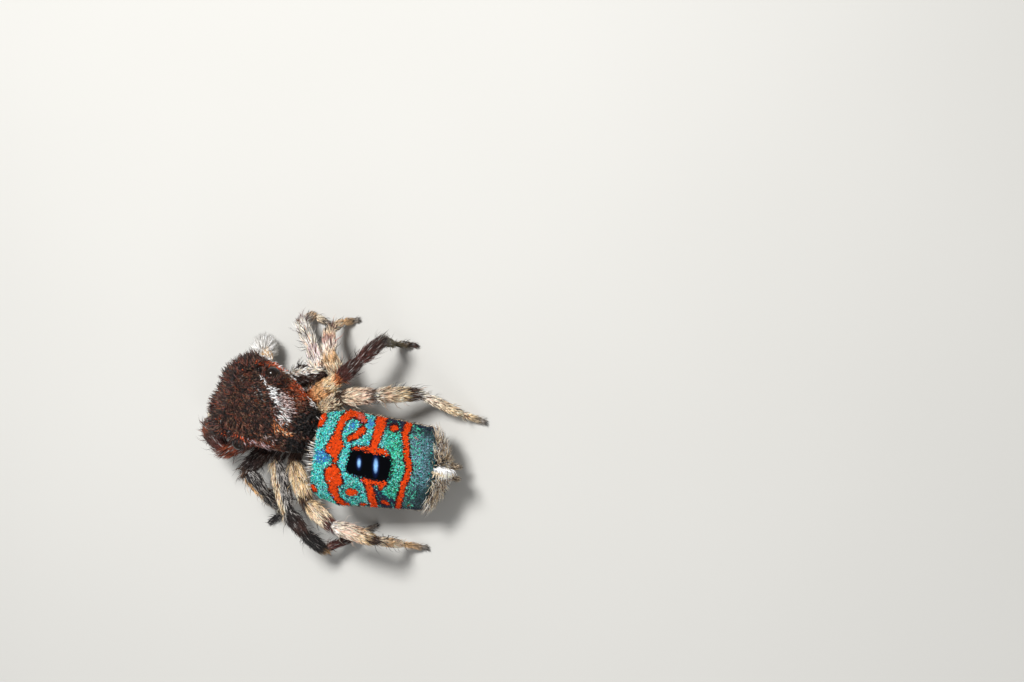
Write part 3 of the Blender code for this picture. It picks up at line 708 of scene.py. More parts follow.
TURQUOISE = srgb(66, 222, 204)
SKY_BLUE = srgb(72, 148, 236)
SPARKLE = srgb(180, 252, 244)
AQUA = srgb(84, 240, 226)
LEAF_GREEN = srgb(38, 190, 120)
SEA_GREEN = srgb(96, 232, 192)
SCARLET = srgb(255, 80, 16)
PINK_RED = srgb(228, 112, 96)
WINE = srgb(84, 24, 34)
NAVY = srgb(26, 40, 74)
TEAL_GREY = srgb(98, 154, 160)
BLUE_GREY = srgb(130, 164, 188)
DARK_TEAL = srgb(28, 50, 58)
INK = srgb(3, 5, 12)
GLINT = srgb(140, 190, 246)
DEEP_BLUE = srgb(10, 24, 62)
GROUNDS = (
    ((TURQUOISE, AQUA, SKY_BLUE, LEAF_GREEN, NAVY), (0.36, 0.72, 0.80, 0.86)),
    ((LEAF_GREEN, TURQUOISE, DARK_TEAL, SEA_GREEN), (0.14, 0.44, 0.72)),
    ((BLUE_GREY, TEAL_GREY, DARK_TEAL, TURQUOISE * 0.8), (0.34, 0.74, 0.92)),
)
RED_LINES = (
    ((0.368, -0.02, 0.035), (0.353, 0.23, 0.055), (0.353, 0.49, 0.055), (0.391, 0.64, 0.055),
     (0.459, 0.74, 0.058), (0.567, 0.794, 0.058), (0.689, 0.764, 0.052), (0.772, 0.695, 0.036)),
    ((0.0, 0.56, 0.075), (0.02, 0.62, 0.08)),
    ((0.04, -0.56, 0.045), (0.06, -0.60, 0.04)),
    ((0.564, 0.382, 0.036), (0.689, 0.462, 0.046), (0.763, 0.549, 0.055)),
    ((0.397, -0.54, 0.075), (0.45, -0.659, 0.05), (0.529, -0.756, 0.045), (0.673, -0.832, 0.035)),
    ((1.074, 0.76, 0.088), (1.048, 0.587, 0.075), (1.024, 0.454, 0.062), (1.001, 0.319, 0.054),
     (1.005, 0.24, 0.05)),
    ((0.665, 0.224, 0.03), (0.839, 0.229, 0.046), (1.013, 0.234, 0.05), (1.187, 0.239, 0.044),
     (1.278, 0.145, 0.03)),
    ((0.881, -0.289, 0.026), (1.068, -0.307, 0.04), (1.269, -0.289, 0.032)),
    ((0.963, -0.323, 0.04), (1.031, -0.444, 0.055), (1.073, -0.583, 0.058), (1.152, -0.79, 0.06)),
    ((1.242, -0.302, 0.04), (1.205, -0.388, 0.03)),
    ((1.561, 0.72, 0.056), (1.506, 0.572, 0.050), (1.551, 0.412, 0.043), (1.587, 0.227, 0.043),
     (1.652, 0.041, 0.043), (1.645, -0.116, 0.042), (1.589, -0.283, 0.042), (1.574, -0.468, 0.042),
     (1.555, -0.642, 0.044), (1.599, -0.80, 0.046)),
    ((1.29, 0.646, 0.042), (1.33, 0.646, 0.042)),
    ((1.29, -0.65, 0.03), (1.36, -0.68, 0.03)),
    ((0.925, -0.765, 0.024), (0.971, -0.765, 0.024)),
)
RED_BLOBS = (
    ((0.161, 0.142), (0.301, 0.449), (0.493, 0.267), (0.367, -0.013)),
    ((0.21, -0.213), (0.356, -0.073), (0.466, -0.166), (0.559, -0.402), (0.397, -0.54), (0.277, -0.434)),
)
RED_EDGE = 0.030
SPOT_MIDDLE = (0.972, -0.03)
SPOT_HALF = (0.265, 0.10)
SPOT_ROUNDING = 0.118
SPOT_TURN = math.radians(-5)
BLOB_ROUNDING = 0.006
SPOT_PITS = ((0.81, -0.009, 0.026, 0.062), (1.102, -0.017, 0.031, 0.098))


def outside_blob(x, y, corners):
    """How far points lie outside a drawn shape with convex corners."""
    middle = np.mean(corners, axis=0)
    worst = np.full(np.shape(x), -9.0)
    for (ax, ay), (bx, by) in zip(corners, corners[1:] + corners[:1]):
        length = math.hypot(bx - ax, by - ay)
        nx, ny = (by - ay) / length, -(bx - ax) / length
        if (middle[0] - ax) * nx + (middle[1] - ay) * ny > 0:
            nx, ny = -nx, -ny
        worst = np.maximum(worst, (x - ax) * nx + (y - ay) * ny)
    return worst + BLOB_ROUNDING


def outside_spot(u, v):
    """How far points lie outside the glossy black spot, a rounded oblong turned a little."""
    x, y = u - SPOT_MIDDLE[0], v - SPOT_MIDDLE[1]
    cosine, sine = math.cos(SPOT_TURN), math.sin(SPOT_TURN)
    x, y = x * cosine + y * sine, y * cosine - x * sine
    dx, dy = np.abs(x) - SPOT_HALF[0], np.abs(y) - SPOT_HALF[1]
    outside = np.hypot(np.maximum(dx, 0), np.maximum(dy, 0)) + np.minimum(np.maximum(dx, dy), 0)
    return outside - SPOT_ROUNDING


def outside_red(u, v):
    best = np.full(np.shape(u), 9.0)
    for line in RED_LINES:
        best = np.minimum(best, along_line(u, v, line))
    for corners in RED_BLOBS:
        best = np.minimum(best, outside_blob(u, v, corners))
    return best


def plate_colours(u, v, rng, loose):
    """The pattern of the plate: turquoise ground with painted glints, red bands with dark edges, and a
    black spot.
    """
    u = u + rng.normal(0, loose, len(u))
    v = v + rng.normal(0, loose, len(u))
    dice = rng.random(len(u))

    def blend(low, high, share):
        return low + (high - low) * np.clip(share, 0, 1)[:, None]

    def mark(where, paint_colour, share=1.0, spread=0.2):
        hit = where & (rng.random(len(u)) < share)
        colour[hit] = paint_colour * rng.uniform(1 - spread, 1 + spread, (hit.sum(), 1))

    front, belt, rear = (np.array(shades)[np.searchsorted(shares, dice)] for shades, shares in GROUNDS)
    colour = blend(front, belt, (u - 1.12) / 0.14)
    colour = blend(colour, rear, (u - 1.58) / 0.06)
    behind = np.clip((u - 1.6) / 0.1, 0, 1)
    colour = blend(colour, DARK_TEAL * 0.7, np.clip((-0.18 - v) / 0.25, 0, 0.75) * behind)
    colour = blend(colour, DARK_TEAL * 0.7, np.clip((v - 0.52) / 0.15, 0, 0.8) * behind)
    colour = blend(colour, DARK_TEAL * 0.8, (u - 1.98) / 0.14)
    colour *= rng.uniform(0.25, 1.5, (len(u), 1))
    # Painted glints: a share of scattered scales is painted near-white cyan, as glitter of light on the
    # iridescent scales.
    mark(u < 1.16, SPARKLE, 0.16)
    mark((u >= 1.16) & (u < 1.6) & (v > -0.45) & (v < 0.55), SPARKLE * 0.8, 0.10)
    mark(np.hypot((u - 0.14) / 0.12, (v - 0.01) / 0.12) < 1, SKY_BLUE * 0.8, 0.6)
    mark((np.hypot(u - 0.89, v - 0.657) < 0.07) | (np.hypot(u - 0.57, v - 0.597) < 0.06), SKY_BLUE, 0.6)
    mark((u > 1.34) & (u < 1.56) & (v > -0.10) & (v < 0.42), LEAF_GREEN, 0.10)
    mark((u > 1.60) & (u < 1.84) & (v > -0.7), SEA_GREEN, 0.16)
    mark((u > 1.17) & (u < 1.52) & (v > 0.60), NAVY, 0.8)
    mark(along_line(u, v, ((1.12, -0.44, 0.05), (1.25, -0.60, 0.10), (1.45, -0.72, 0.14))) < 0, NAVY, 0.85)
    mark((np.abs(v) > plate_half(u / PLATE_LENGTH) - 0.05) & (u > 0.85), NAVY * 0.7, 0.6)
    eyespot = np.hypot((u - 0.72) / 0.106, (v + 0.545) / 0.077)
    mark(eyespot < 1.62, NAVY, 0.9)
    mark(eyespot < 1.38, TURQUOISE, 0.95)
    mark(eyespot < 1.12, WINE, 0.9)
    red = np.minimum(outside_red(u, v), np.where(eyespot < 1.6, (eyespot - 1) * 0.085 + RED_EDGE, 9.0))
    mark((red < RED_EDGE) & (eyespot > 1.5), WINE * 0.45, 0.9)
    mark((red < 0.0) | (eyespot < 0.95), SCARLET, 0.97)
    mark((red < 0.0) & (u > 0.64) & (u < 0.80) & (v > 0.62), PINK_RED, 0.8)
    mark(np.hypot(u - 1.707, v - 0.533) < 0.022, PINK_RED, 0.6)
    mark(np.hypot(u - 1.747, v + 0.657) < 0.026, SCARLET * 0.7, 0.6)
    spot = outside_spot(u, v)
    mark(spot < 0.03, INK * 3.0, 0.7)
    mark(spot < 0.0, INK * 0.4, 1.0, 0.0)
    return np.clip(colour, 0, 1), red, spot


def plate_skin_colours(u, v):
    """The same pattern on the plate itself, dark under the scales, with a painted highlight in each of the
    two pits.
    """
    colour, _, spot = plate_colours(u, v, np.random.default_rng(3), 0.004)
    # Painted highlight: each pit gets a pale-blue reflection with a deep blue rim, painted into the skin's
    # colour.
    for middle_u, middle_v, half_u, half_v in SPOT_PITS:
        x, y = u - middle_u + (v - middle_v) * 0.10, v - middle_v
        far = np.hypot(x / half_u, y / half_v)
        colour = colour + (DEEP_BLUE - colour) * np.clip(2.4 - far, 0, 1)[:, None]
        colour = colour + (GLINT - colour) * np.clip(1.5 - far, 0, 1)[:, None]
    return np.where((spot < 0.02)[:, None], colour, colour * 0.35)


fresh()
bpy.ops.mesh.primitive_grid_add(x_subdivisions=210, y_subdivisions=170, size=2)
plate = bpy.context.object
plate.name = "abdomen_plate_skin"
flat = points_of(plate)
share, across = (flat[:, 0] + 1) / 2, flat[:, 1]
sink = np.zeros(len(share))
for middle_u, middle_v, half_u, half_v in SPOT_PITS:
    x, y = share * PLATE_LENGTH - middle_u, plate_half(share) * across - middle_v
    sink += 0.014 * np.exp(-((x / half_u / 1.8) ** 2) - (y / half_v / 1.5) ** 2)
move_points(plate, on_plate(share, across, SCALE_BED + sink))
paint(plate, plate_skin_colours(share * PLATE_LENGTH, plate_half(share) * across))
wall = plate.modifiers.new("thickness", "SOLIDIFY")
wall.thickness = PLATE_WALL
wall.offset = -1.0
apply_all(plate)
shell = chitin("plate skin", 0.22, 0.02, 0.001)
shell.shader.inputs["IOR"].default_value = 1.2
settle(plate, shell, "plate", "abdomen_plate")

rng = np.random.default_rng(21)
rows, columns = SCALE_GRID
grid = np.stack(np.meshgrid(np.arange(rows), np.arange(columns), indexing="ij"), -1).reshape(-1, 2)
share = (grid[:, 0] + rng.uniform(0.1, 0.9, len(grid))) / rows
across = ((grid[:, 1] + rng.uniform(0.1, 0.9, len(grid))) / columns * 2 - 1) * 0.995
u, v = share * PLATE_LENGTH, plate_half(share) * across
colour, red, spot = plate_colours(u, v, rng, 0.010)
roots = on_plate(share, across, SCALE_BED)
step = 1e-3
along = unit(on_plate(share + step, across, SCALE_BED) - roots)
beside = unit(on_plate(share, across + step, SCALE_BED) - roots)
outward = unit(np.cross(along, beside))
outward *= np.sign(outward @ BAG_UP)[:, None]
covered = spot > 0.0
is_red = red < 0.012
unwrap = np.column_stack((share, across * 0.5 + 0.5))
bright = hairy("iridescent scales", 0.34, 0.05)
bright.shader.inputs["Metallic"].default_value = 0.25
matte = hairy("red scales", 0.55, 0.05)
matte.shader.inputs["IOR"].default_value = 1.25
for name, chosen, finish, length, width in (
    ("plate_blue_scales", covered & ~is_red, bright, 0.040, 0.024),
    ("plate_red_scales", covered & is_red, matte, 0.048, 0.020),
):
    count = chosen.sum()
    lies = along[chosen] + beside[chosen] * rng.normal(0, 0.25, (count, 1))
    tilt = outward[chosen] + beside[chosen] * rng.normal(0, 0.22, (count, 1))
    size = rng.uniform(0.8, 1.2, count)
    lift = rng.uniform(0.10, 0.40, count)
    shapes = flat_scales(roots[chosen], unit(tilt), lies, length * size, width * size, lift)
    coat(name, shapes, colour[chosen], unwrap[chosen], finish, "plate", 1.15, SCALE)

# Abdomen bag. The soft bag under the plate, fullest below, clothed in grey, cream and brown hair.
# A white fringe stands out in front over the waist, and a pale tuft closes the rear end.
BAG_SLICES = np.array((
    (-0.02, 0.30, 0.30, 0.46), (0.0, 0.42, 0.25, 0.52), (0.03, 0.72, 0.16, 0.74),
    (0.12, 0.88, 0.11, 0.93), (0.30, 0.94, 0.10, 1.05), (0.50, 0.95, 0.10, 1.07),
    (0.70, 0.95, 0.10, 0.97), (0.86, 0.90, 0.11, 0.83), (0.97, 0.78, 0.20, 0.68),
    (1.05, 0.48, 0.34, 0.54), (1.06, 0.30, 0.38, 0.50),
))


def bag_section(along, turn, spread, breadth, top, belly):
    half = plate_half(along) * breadth
    sag = PLATE_SAG * breadth**3
    across, rise = rounded(turn, 2.2)
    side = top + sag
    upper = -top - sag * np.abs(across) ** 3
    height = np.where(np.sin(turn) > 0, upper, -side + (belly - side) * rise)
    middle = -(top + belly) / 2
    return on_bag(-along * PLATE_LENGTH, half * across * spread, middle + (height - middle) * spread)


bag = shaped_shell(BAG_SLICES, bag_section, 12.0, 96, 90)
bag.name = "abdomen_skin"
GREY_BROWN = srgb(112, 100, 90)
UMBER = srgb(74, 50, 36)
COAL = srgb(34, 28, 28)


def bag_colours(points, rng):
    """Mixed grey, cream and brown, banded with brown, pale at the rear and below, with painted shade in
    front.
    """
    back_way, right, up = in_bag(points)
    dice = rng.random(len(points))
    colour = np.array((GREY_BROWN, CREAM * 0.8, UMBER))[np.searchsorted((0.5, 0.8), dice, side="right")]
    band = np.sin(back_way * 9.0 + up * 5.0) > 0.55
    hit = band & (rng.random(len(points)) < 0.6)
    colour[hit] = UMBER
    rear = (back_way > 1.98) & (rng.random(len(points)) < 0.75)
    colour[rear] = np.where((dice[rear] < 0.6)[:, None], CREAM, SNOW)
    # Painted shade: the front of the bag, over the waist, is painted near-black.
    front = (back_way < 0.10) & (rng.random(len(points)) < 0.8)
    colour[front] = UMBER * 0.4
    belly = (up < -0.85) & (rng.random(len(points)) < 0.8)
    colour[belly] = CREAM * 0.75
    return np.clip(colour * rng.uniform(0.7, 1.3, (len(points), 1)), 0, 1)


paint(bag, bag_colours(points_of(bag), np.random.default_rng(4)) * SKIN_SHADE["abdomen"])
bag_coat_finish = hairy("abdomen hair", 0.55, 0.10)
rng = np.random.default_rng(31)
spots, outward = samples(bag, 17000, rng)
back_way, right, up = in_bag(spots)
under_plate = (outward @ BAG_UP > 0.35) & (back_way < 2.02)
keep = ~under_plate & ((back_way > 0.08) | (up < -0.3) | (rng.random(len(spots)) < 0.4))
spots, outward, back_way, right, up = (values[keep] for values in (spots, outward, back_way, right, up))
lies = -BAG_FORWARD - BAG_UP * np.where(back_way < 0.08, 2.0, 0.25)[:, None]
shapes = hairs(rng, spots, outward, lies, 0.30, 0.12, (0.7, 1.3), 0.022, (0.25, 0.7))
unwrap = np.column_stack((back_way / 2.3, np.arctan2(up + 0.55, right) / math.tau + 0.5))
coat("abdomen_coat", shapes, bag_colours(spots, rng), unwrap, bag_coat_finish, "grey")

rng = np.random.default_rng(32)
across = rng.normal(-0.08, 0.40, 40).clip(-0.88, 0.88)
share = rng.uniform(0.0, 0.03, len(across))
roots = on_plate(share, across, 0.004)
lies = BAG_FORWARD + BAG_RIGHT * (across * 0.7)[:, None]
length = np.where(np.abs(across + 0.02) < 0.45, 0.19, 0.11)
outward = np.broadcast_to(BAG_UP, roots.shape)
shapes = hairs(rng, roots, outward, lies, 0.16, length, (0.5, 1.1), 0.012, (-0.3, 0.25))
colour = mottled(rng, len(roots), (0.8,), (SNOW, CREAM), 0.7, 1.0)
unwrap = np.column_stack((share + 0.02, across * 0.5 + 0.5))
coat("abdomen_front_fringe", shapes, colour, unwrap, bag_coat_finish, "grey")

rng = np.random.default_rng(33)
turn = rng.uniform(0, math.tau, 2300)
out = np.sqrt(rng.random(len(turn)))
back_way = PLATE_LENGTH * (1.05 - 0.09 * out**3)
right, up = 0.56 * out * np.cos(turn), -0.36 + 0.22 * out * np.sin(turn)
core = np.hypot(right - 0.03, (up + 0.22) * 0.6) < 0.075
roots = on_bag(-back_way, right, up)
outward = unit(-BAG_FORWARD + BAG_RIGHT * right[:, None] * 1.6 + BAG_UP * (up + 0.42)[:, None] * 2.0)
lies = BAG_UP * rng.uniform(-0.2, 0.7, (len(turn), 1)) + BAG_RIGHT * right[:, None] * 2.2
lies = lies - BAG_FORWARD * 0.8
inward = BAG_RIGHT * (right[core] * 5.0 + 0.05)[:, None]
lies[core] = BAG_UP * (0.7 - (up[core] + 0.22) * 2.0)[:, None] - inward
lies = lies + rng.normal(0, 1.0, roots.shape) * np.where(core, 0.05, 0.17)[:, None]
length = np.where(core, 0.48, 0.33) * rng.uniform(0.5, 1.15, len(turn))
lift = np.where(core, rng.uniform(0.8, 1.3, len(turn)), rng.uniform(0.4, 1.1, len(turn)))
shapes = blades(roots, outward, lies, length, np.where(core, 0.036, 0.018), lift)
pick = np.searchsorted((0.30, 0.66, 0.76, 0.88), rng.random(len(turn)))
shades = np.array((SNOW, CREAM, FAWN, UMBER, COAL))[pick]
core_shades = np.where((right > 0.02)[:, None], SNOW * 1.6, CREAM * 1.2)
colour = np.where(core[:, None], core_shades, shades) * rng.uniform(0.6, 1.15, (len(turn), 1))
unwrap = np.column_stack((right + 0.5, up + 0.9))
coat("abdomen_rear_tuft", shapes, colour, unwrap, bag_coat_finish, "grey")

rng = np.random.default_rng(34)
edge = rng.random(500)
side = np.sign(rng.uniform(-1, 1, len(edge)))
share, across = 0.04 + 0.94 * edge, side * rng.uniform(0.97, 1.0, len(edge))
roots = on_plate(share, across, 0.02)
outward = unit(BAG_RIGHT * side[:, None] + BAG_UP * 0.5)
lies = -BAG_FORWARD + BAG_RIGHT * side[:, None] * 0.35 - BAG_UP * 0.7
shapes = hairs(rng, roots, outward, lies, 0.2, 0.10, (0.6, 1.2), 0.012, (0.0, 0.3))
colour = mottled(rng, len(roots), (0.3, 0.7), (CREAM, GREY_BROWN, UMBER), 0.6, 1.0)
unwrap = np.column_stack((share, across * 0.5 + 0.5))
coat("plate_edge_fringe", shapes, colour, unwrap, bag_coat_finish, "plate")
settle(bag, chitin("abdomen skin", 0.6, 0.03, 0.004), "grey", "abdomen")

# Legs. Each is one hollow chain of six hard segments with soft narrow joints, covered with short hair and
# a few long bristles, and ends in a pair of small dark claws over a pad that rests on the floor.
LEG_LENGTHS = {
    1: (0.76, 0.46, 0.60, 0.42, 0.26),
    2: (0.74, 0.46, 0.58, 0.40, 0.26),
    3: (0.95, 0.46, 0.62, 0.62, 0.36),
    4: (0.80, 0.62, 0.86, 0.80, 0.40),
}
LEG_RADII = {
    1: (0.100, 0.130, 0.118, 0.103, 0.066, 0.050),
    2: (0.100, 0.127, 0.113, 0.098, 0.064, 0.050),
    3: (0.100, 0.122, 0.108, 0.094, 0.060, 0.048),
    4: (0.100, 0.123, 0.124, 0.110, 0.072, 0.050),
}
LEG_POSES = {
    "right_1": ((0.30, 0.63, 0.03), (162, 33), (56, -25), (45, -23), (109, -71), (-161, 0)),
    "right_2": ((0.01, 0.59, -0.09), (155, 23), (73, 33), (59, -41), (113, -68), (161, 0)),
    "right_3": ((-0.21, 0.47, 0.08), (143, 34), (133, 2), (125, -29), (-80, -80), (177, 0)),
    "right_4": ((-0.44, 0.36, -0.01), (145, 41), (166, 1), (172, -40), (-160, -24), (-165, 0)),
    "left_1": ((0.40, 0.52, -0.01), (42, 33), (-30, -8), (-31, -62), (-98, -26), (-118, 0)),
    "left_2": ((0.14, 0.62, -0.03), (64, 45), (134, -7), (120, -57), (78, -62), (43, 0)),
    "left_3": ((-0.13, 0.84, 0.08), (120, 20), (138, 1), (126, -49), (-148, -28), (-142, 0)),
    "left_4": ((-0.42, 0.67, 0.08), (125, 18), (150, 8), (173, 3), (156, -70), (176, 0)),
}
HIP_ROOTS = {1: (0.35, 0.24), 2: (0.14, 0.29), 3: (-0.10, 0.29), 4: (-0.34, 0.26)}
SOLE_SHARE = 0.72
TARSUS_RADII = {1: 0.052, 2: 0.052, 3: 0.050, 4: 0.052}
TOE_LENGTH = 0.07
CLAW_LENGTH, CLAW_GIRTH, CLAW_ARCH = 0.055, 0.013, 0.020
PLUMB = np.array((0.0, 0.0, 1.0))
LEG_HAIRS = 3000
LEG_HAIR_LENGTH, TALL_HAIR_LENGTH = 0.165, 0.24
TALL_SHARE = 0.045
LEG_SWELLS = (1.0, 1.06, 1.06, 1.06, 1.0, 1.0, 1.0)
HAIR_SIZES = np.array((0.9, 1.1, 1.0, 1.0, 0.75, 0.6, 0.5))


def heading(side, turn, rise):
    turn, rise = math.radians(turn), math.radians(rise)
    level = math.cos(rise)
    return np.array((side * math.sin(turn) * level, -math.cos(turn) * level, math.sin(rise)))


def leg_path(name):
    """Hip root, the six joints and the toe of a leg."""
    pair = int(name[-1])
    side = -1 if name.startswith("right") else 1
    start, *turns = LEG_POSES[name]
    joints = [on_head(HIP_ROOTS[pair][0], -side * HIP_ROOTS[pair][1], 0.0)]
    joints.append(on_head(start[0], -side * start[1], start[2]))
    for length, (turn, rise) in zip(LEG_LENGTHS[pair], turns):
        joints.append(joints[-1] + heading(side, turn, rise) * length)
    ankle = joints[5]
    drop = (ankle[2] - TARSUS_RADII[pair] * SOLE_SHARE) / LEG_LENGTHS[pair][4]
    rise = -math.degrees(math.asin(max(-0.95, min(0.95, drop))))
    joints[6] = ankle + heading(side, turns[4][0], rise) * LEG_LENGTHS[pair][4]
    joints.append(joints[6] + heading(side, turns[4][0], 0.0) * TOE_LENGTH * 0.9)
    return np.array(joints)


def segment_form(start, end, radius, swell):
    """A closed round limb segment between two joints, narrower at both ends."""
    start, end = np.asarray(start), np.asarray(end)
    way = unit(end - start)
    start, end = start - way * radius * 0.25, end + way * radius * 0.25
    obj = ball(1.0, (0, 0, 0), 20, 26)
    points = points_of(obj)
    share = (1 - points[:, 2]) / 2
    round_end = np.sqrt(np.clip(1 - np.abs(points[:, 2]) ** 10, 0, 1))
    girth = np.interp(share, (0, 0.08, 0.35, 0.65, 0.92, 1), (0.62, 0.78, swell, 1.0, 0.84, 0.64))
    ring = points[:, :2] / np.maximum(np.hypot(points[:, 0], points[:, 1]), 1e-6)[:, None]
    beside = unit(np.cross(way, (0.0, 0.0, 1.0) if abs(way[2]) < 0.95 else (1.0, 0.0, 0.0)))
    over = np.cross(beside, way)
    spread = (radius * girth * round_end)[:, None]
    move_points(
        obj, start + (end - start) * share[:, None] + (ring[:, :1] * beside + ring[:, 1:] * over) * spread
    )
    return obj


def nearest_segment(points, path, radii):
    """The segment each point lies on, the share along it, its axis and the way out."""
    best = np.full(len(points), 9.0)
    where = np.zeros(len(points), int)
    shares = np.zeros(len(points))
    ways = np.zeros((len(points), 3))
    outs = np.zeros((len(points), 3))
    for k in range(len(radii)):
        a, b = path[k], path[k + 1]
        share = np.clip(((points - a) @ (b - a)) / ((b - a) @ (b - a)), 0, 1)
        offset = points - a - (b - a) * share[:, None]
        far = np.linalg.norm(offset, axis=1) - radii[k]
        nearer = far < best
        best[nearer], where[nearer], shares[nearer] = far[nearer], k, share[nearer]
        ways[nearer] = unit(b - a)
        outs[nearer] = unit(offset[nearer])
    return where, shares, ways, outs


MAROON = srgb(88, 44, 38)
COCOA = srgb(64, 40, 32)
ASH = srgb(120, 112, 104)
SILVER = srgb(188, 182, 176)
TAN = srgb(206, 164, 116)
APRICOT = srgb(240, 188, 134)
BUFF = srgb(255, 222, 172)
IVORY = srgb(255, 246, 222)
ROSE = srgb(190, 128, 112)
BLUSH = srgb(244, 206, 182)
OLIVE = srgb(98, 88, 60)
LEG_BANDS = {
    "right_1": ((0, COCOA), (1.0, CREAM), (1.5, SILVER), (1.9, ROSE), (2.1, SNOW), (2.8, PINK_WHITE),
        (3.0, SNOW), (3.4, SILVER), (3.8, SNOW), (4.0, MAROON), (4.2, SILVER), (4.9, TAN), (5.0, CREAM),
        (6, ASH)),
    "right_2": ((0, COCOA), (1.0, SNOW), (1.4, COCOA), (1.85, SILVER), (2.0, ROSE), (2.2, CREAM),
        (2.9, TAN), (3.1, SNOW), (3.5, ROSE), (3.7, CREAM), (4.0, MAROON), (4.2, CREAM), (5.0, TAN),
        (6, ASH)),
    "right_3": ((0, COCOA), (1.0, COCOA), (1.08, TAN_ORANGE), (1.3, APRICOT), (1.55, APRICOT),
        (1.7, BUFF), (1.86, BUFF), (1.96, TAN_ORANGE), (2.08, MAROON), (2.9, COCOA), (3.0, MAROON),
        (3.8, COCOA), (4.0, ASH), (4.15, OLIVE), (5, OLIVE), (6, COCOA)),
    "right_4": ((0, COCOA), (1.0, UMBER), (1.1, BUFF), (1.88, CREAM), (1.95, UMBER), (2.12, UMBER),
        (2.18, CREAM), (2.84, BLUSH), (2.89, UMBER * 1.8), (2.96, UMBER), (3.0, SNOW), (3.15, CREAM),
        (3.22, FAWN), (3.3, CREAM), (3.62, BUFF), (3.7, UMBER), (3.84, UMBER), (3.92, SNOW), (4.5, CREAM),
        (5.0, BUFF), (6, ASH)),
    "left_1": ((0, COCOA), (1.0, COCOA), (1.5, MAROON), (1.9, RUST), (2.1, MAROON), (2.8, COCOA),
        (3.0, RUST), (3.4, COCOA), (3.7, MAROON), (4.0, CREAM), (4.2, SILVER), (4.9, TAN), (5.0, CREAM),
        (6, ASH)),
    "left_2": ((0, COCOA), (1.0, COCOA), (1.4, COCOA), (1.85, COAL), (2.0, UMBER), (2.15, TAN),
        (2.9, TAN), (3.1, CREAM), (3.7, TAN), (4.0, UMBER), (4.2, OLIVE), (5.0, COAL), (6, COAL)),
    "left_3": ((0, COCOA), (1.0, COCOA), (1.1, COAL), (1.25, SILVER), (1.7, SILVER), (1.95, TAN),
        (2.1, COAL), (2.9, COCOA), (3.0, COAL), (3.8, COAL), (4.0, TAN), (4.15, MAROON), (5, COCOA),
        (6, ASH)),
    "left_4": ((0, COCOA), (1.0, UMBER), (1.1, BUFF), (1.76, BUFF), (1.86, UMBER), (2.06, UMBER),
        (2.16, BUFF), (2.72, CREAM), (2.82, MAROON), (3.0, MAROON), (3.1, SNOW), (3.5, BLUSH),
        (3.8, BUFF), (3.9, UMBER), (4.05, UMBER), (4.15, CREAM), (4.45, TAN), (4.65, CREAM), (5.2, TAN),
        (6, ASH)),
}


def leg_colours(name, points, path, radii, rng, loose):
    """The bands along a leg, with stray pale and dark hairs, and what marks one of its sides."""
    where, share, _, outs = nearest_segment(points, path, radii)
    along = where + share + rng.normal(0, loose, len(points))
    bands = LEG_BANDS[name]
    stops = np.array([stop for stop, _ in bands])
    shades = np.array([shade for _, shade in bands])
    colour = np.stack([np.interp(along, stops, shades[:, k]) for k in range(3)], 1)
    if name == "right_1":
        stripe = (where == 1) & (np.abs(outs @ HEAD_RIGHT - 0.1) < 0.4) & (outs[:, 2] > 0.0)
        colour[stripe] = SNOW * 1.3
        colour[(where == 1) & ~stripe] = DARK_BROWN
    if name == "left_2":
        inner = (where > 1) & (where < 4) & (outs @ HEAD_FORWARD < 0.0)
        colour[inner] = np.where((rng.random(inner.sum()) < 0.6)[:, None], COAL, SILVER * 0.7)
    if name == "left_3":
        outer = (where == 1) & (outs @ HEAD_FORWARD > 0.1)
        inner = (where == 1) & ~outer
        colour[outer] = BUFF * 0.8
        colour[inner] = np.where((rng.random(inner.sum()) < 0.55)[:, None], COAL, SILVER)
    dice = rng.random(len(points))
    pale, dark = colour.mean(1) > 0.55, colour.mean(1) < 0.12
    colour[pale & (dice < 0.26)] = IVORY
    colour[pale & (dice > 0.75)] = BLUSH
    colour[dark & (dice < 0.10)] = SILVER * 0.6
    colour[dice > 0.86] = colour[dice > 0.86] * 0.25
    colour[pale & (dice > 0.86)] = UMBER * 1.6
    gain = np.minimum(rng.uniform(0.9, 1.5, len(points)), 1 / np.maximum(colour.max(1), 0.05))
    return np.clip(colour * gain[:, None], 0, 1)


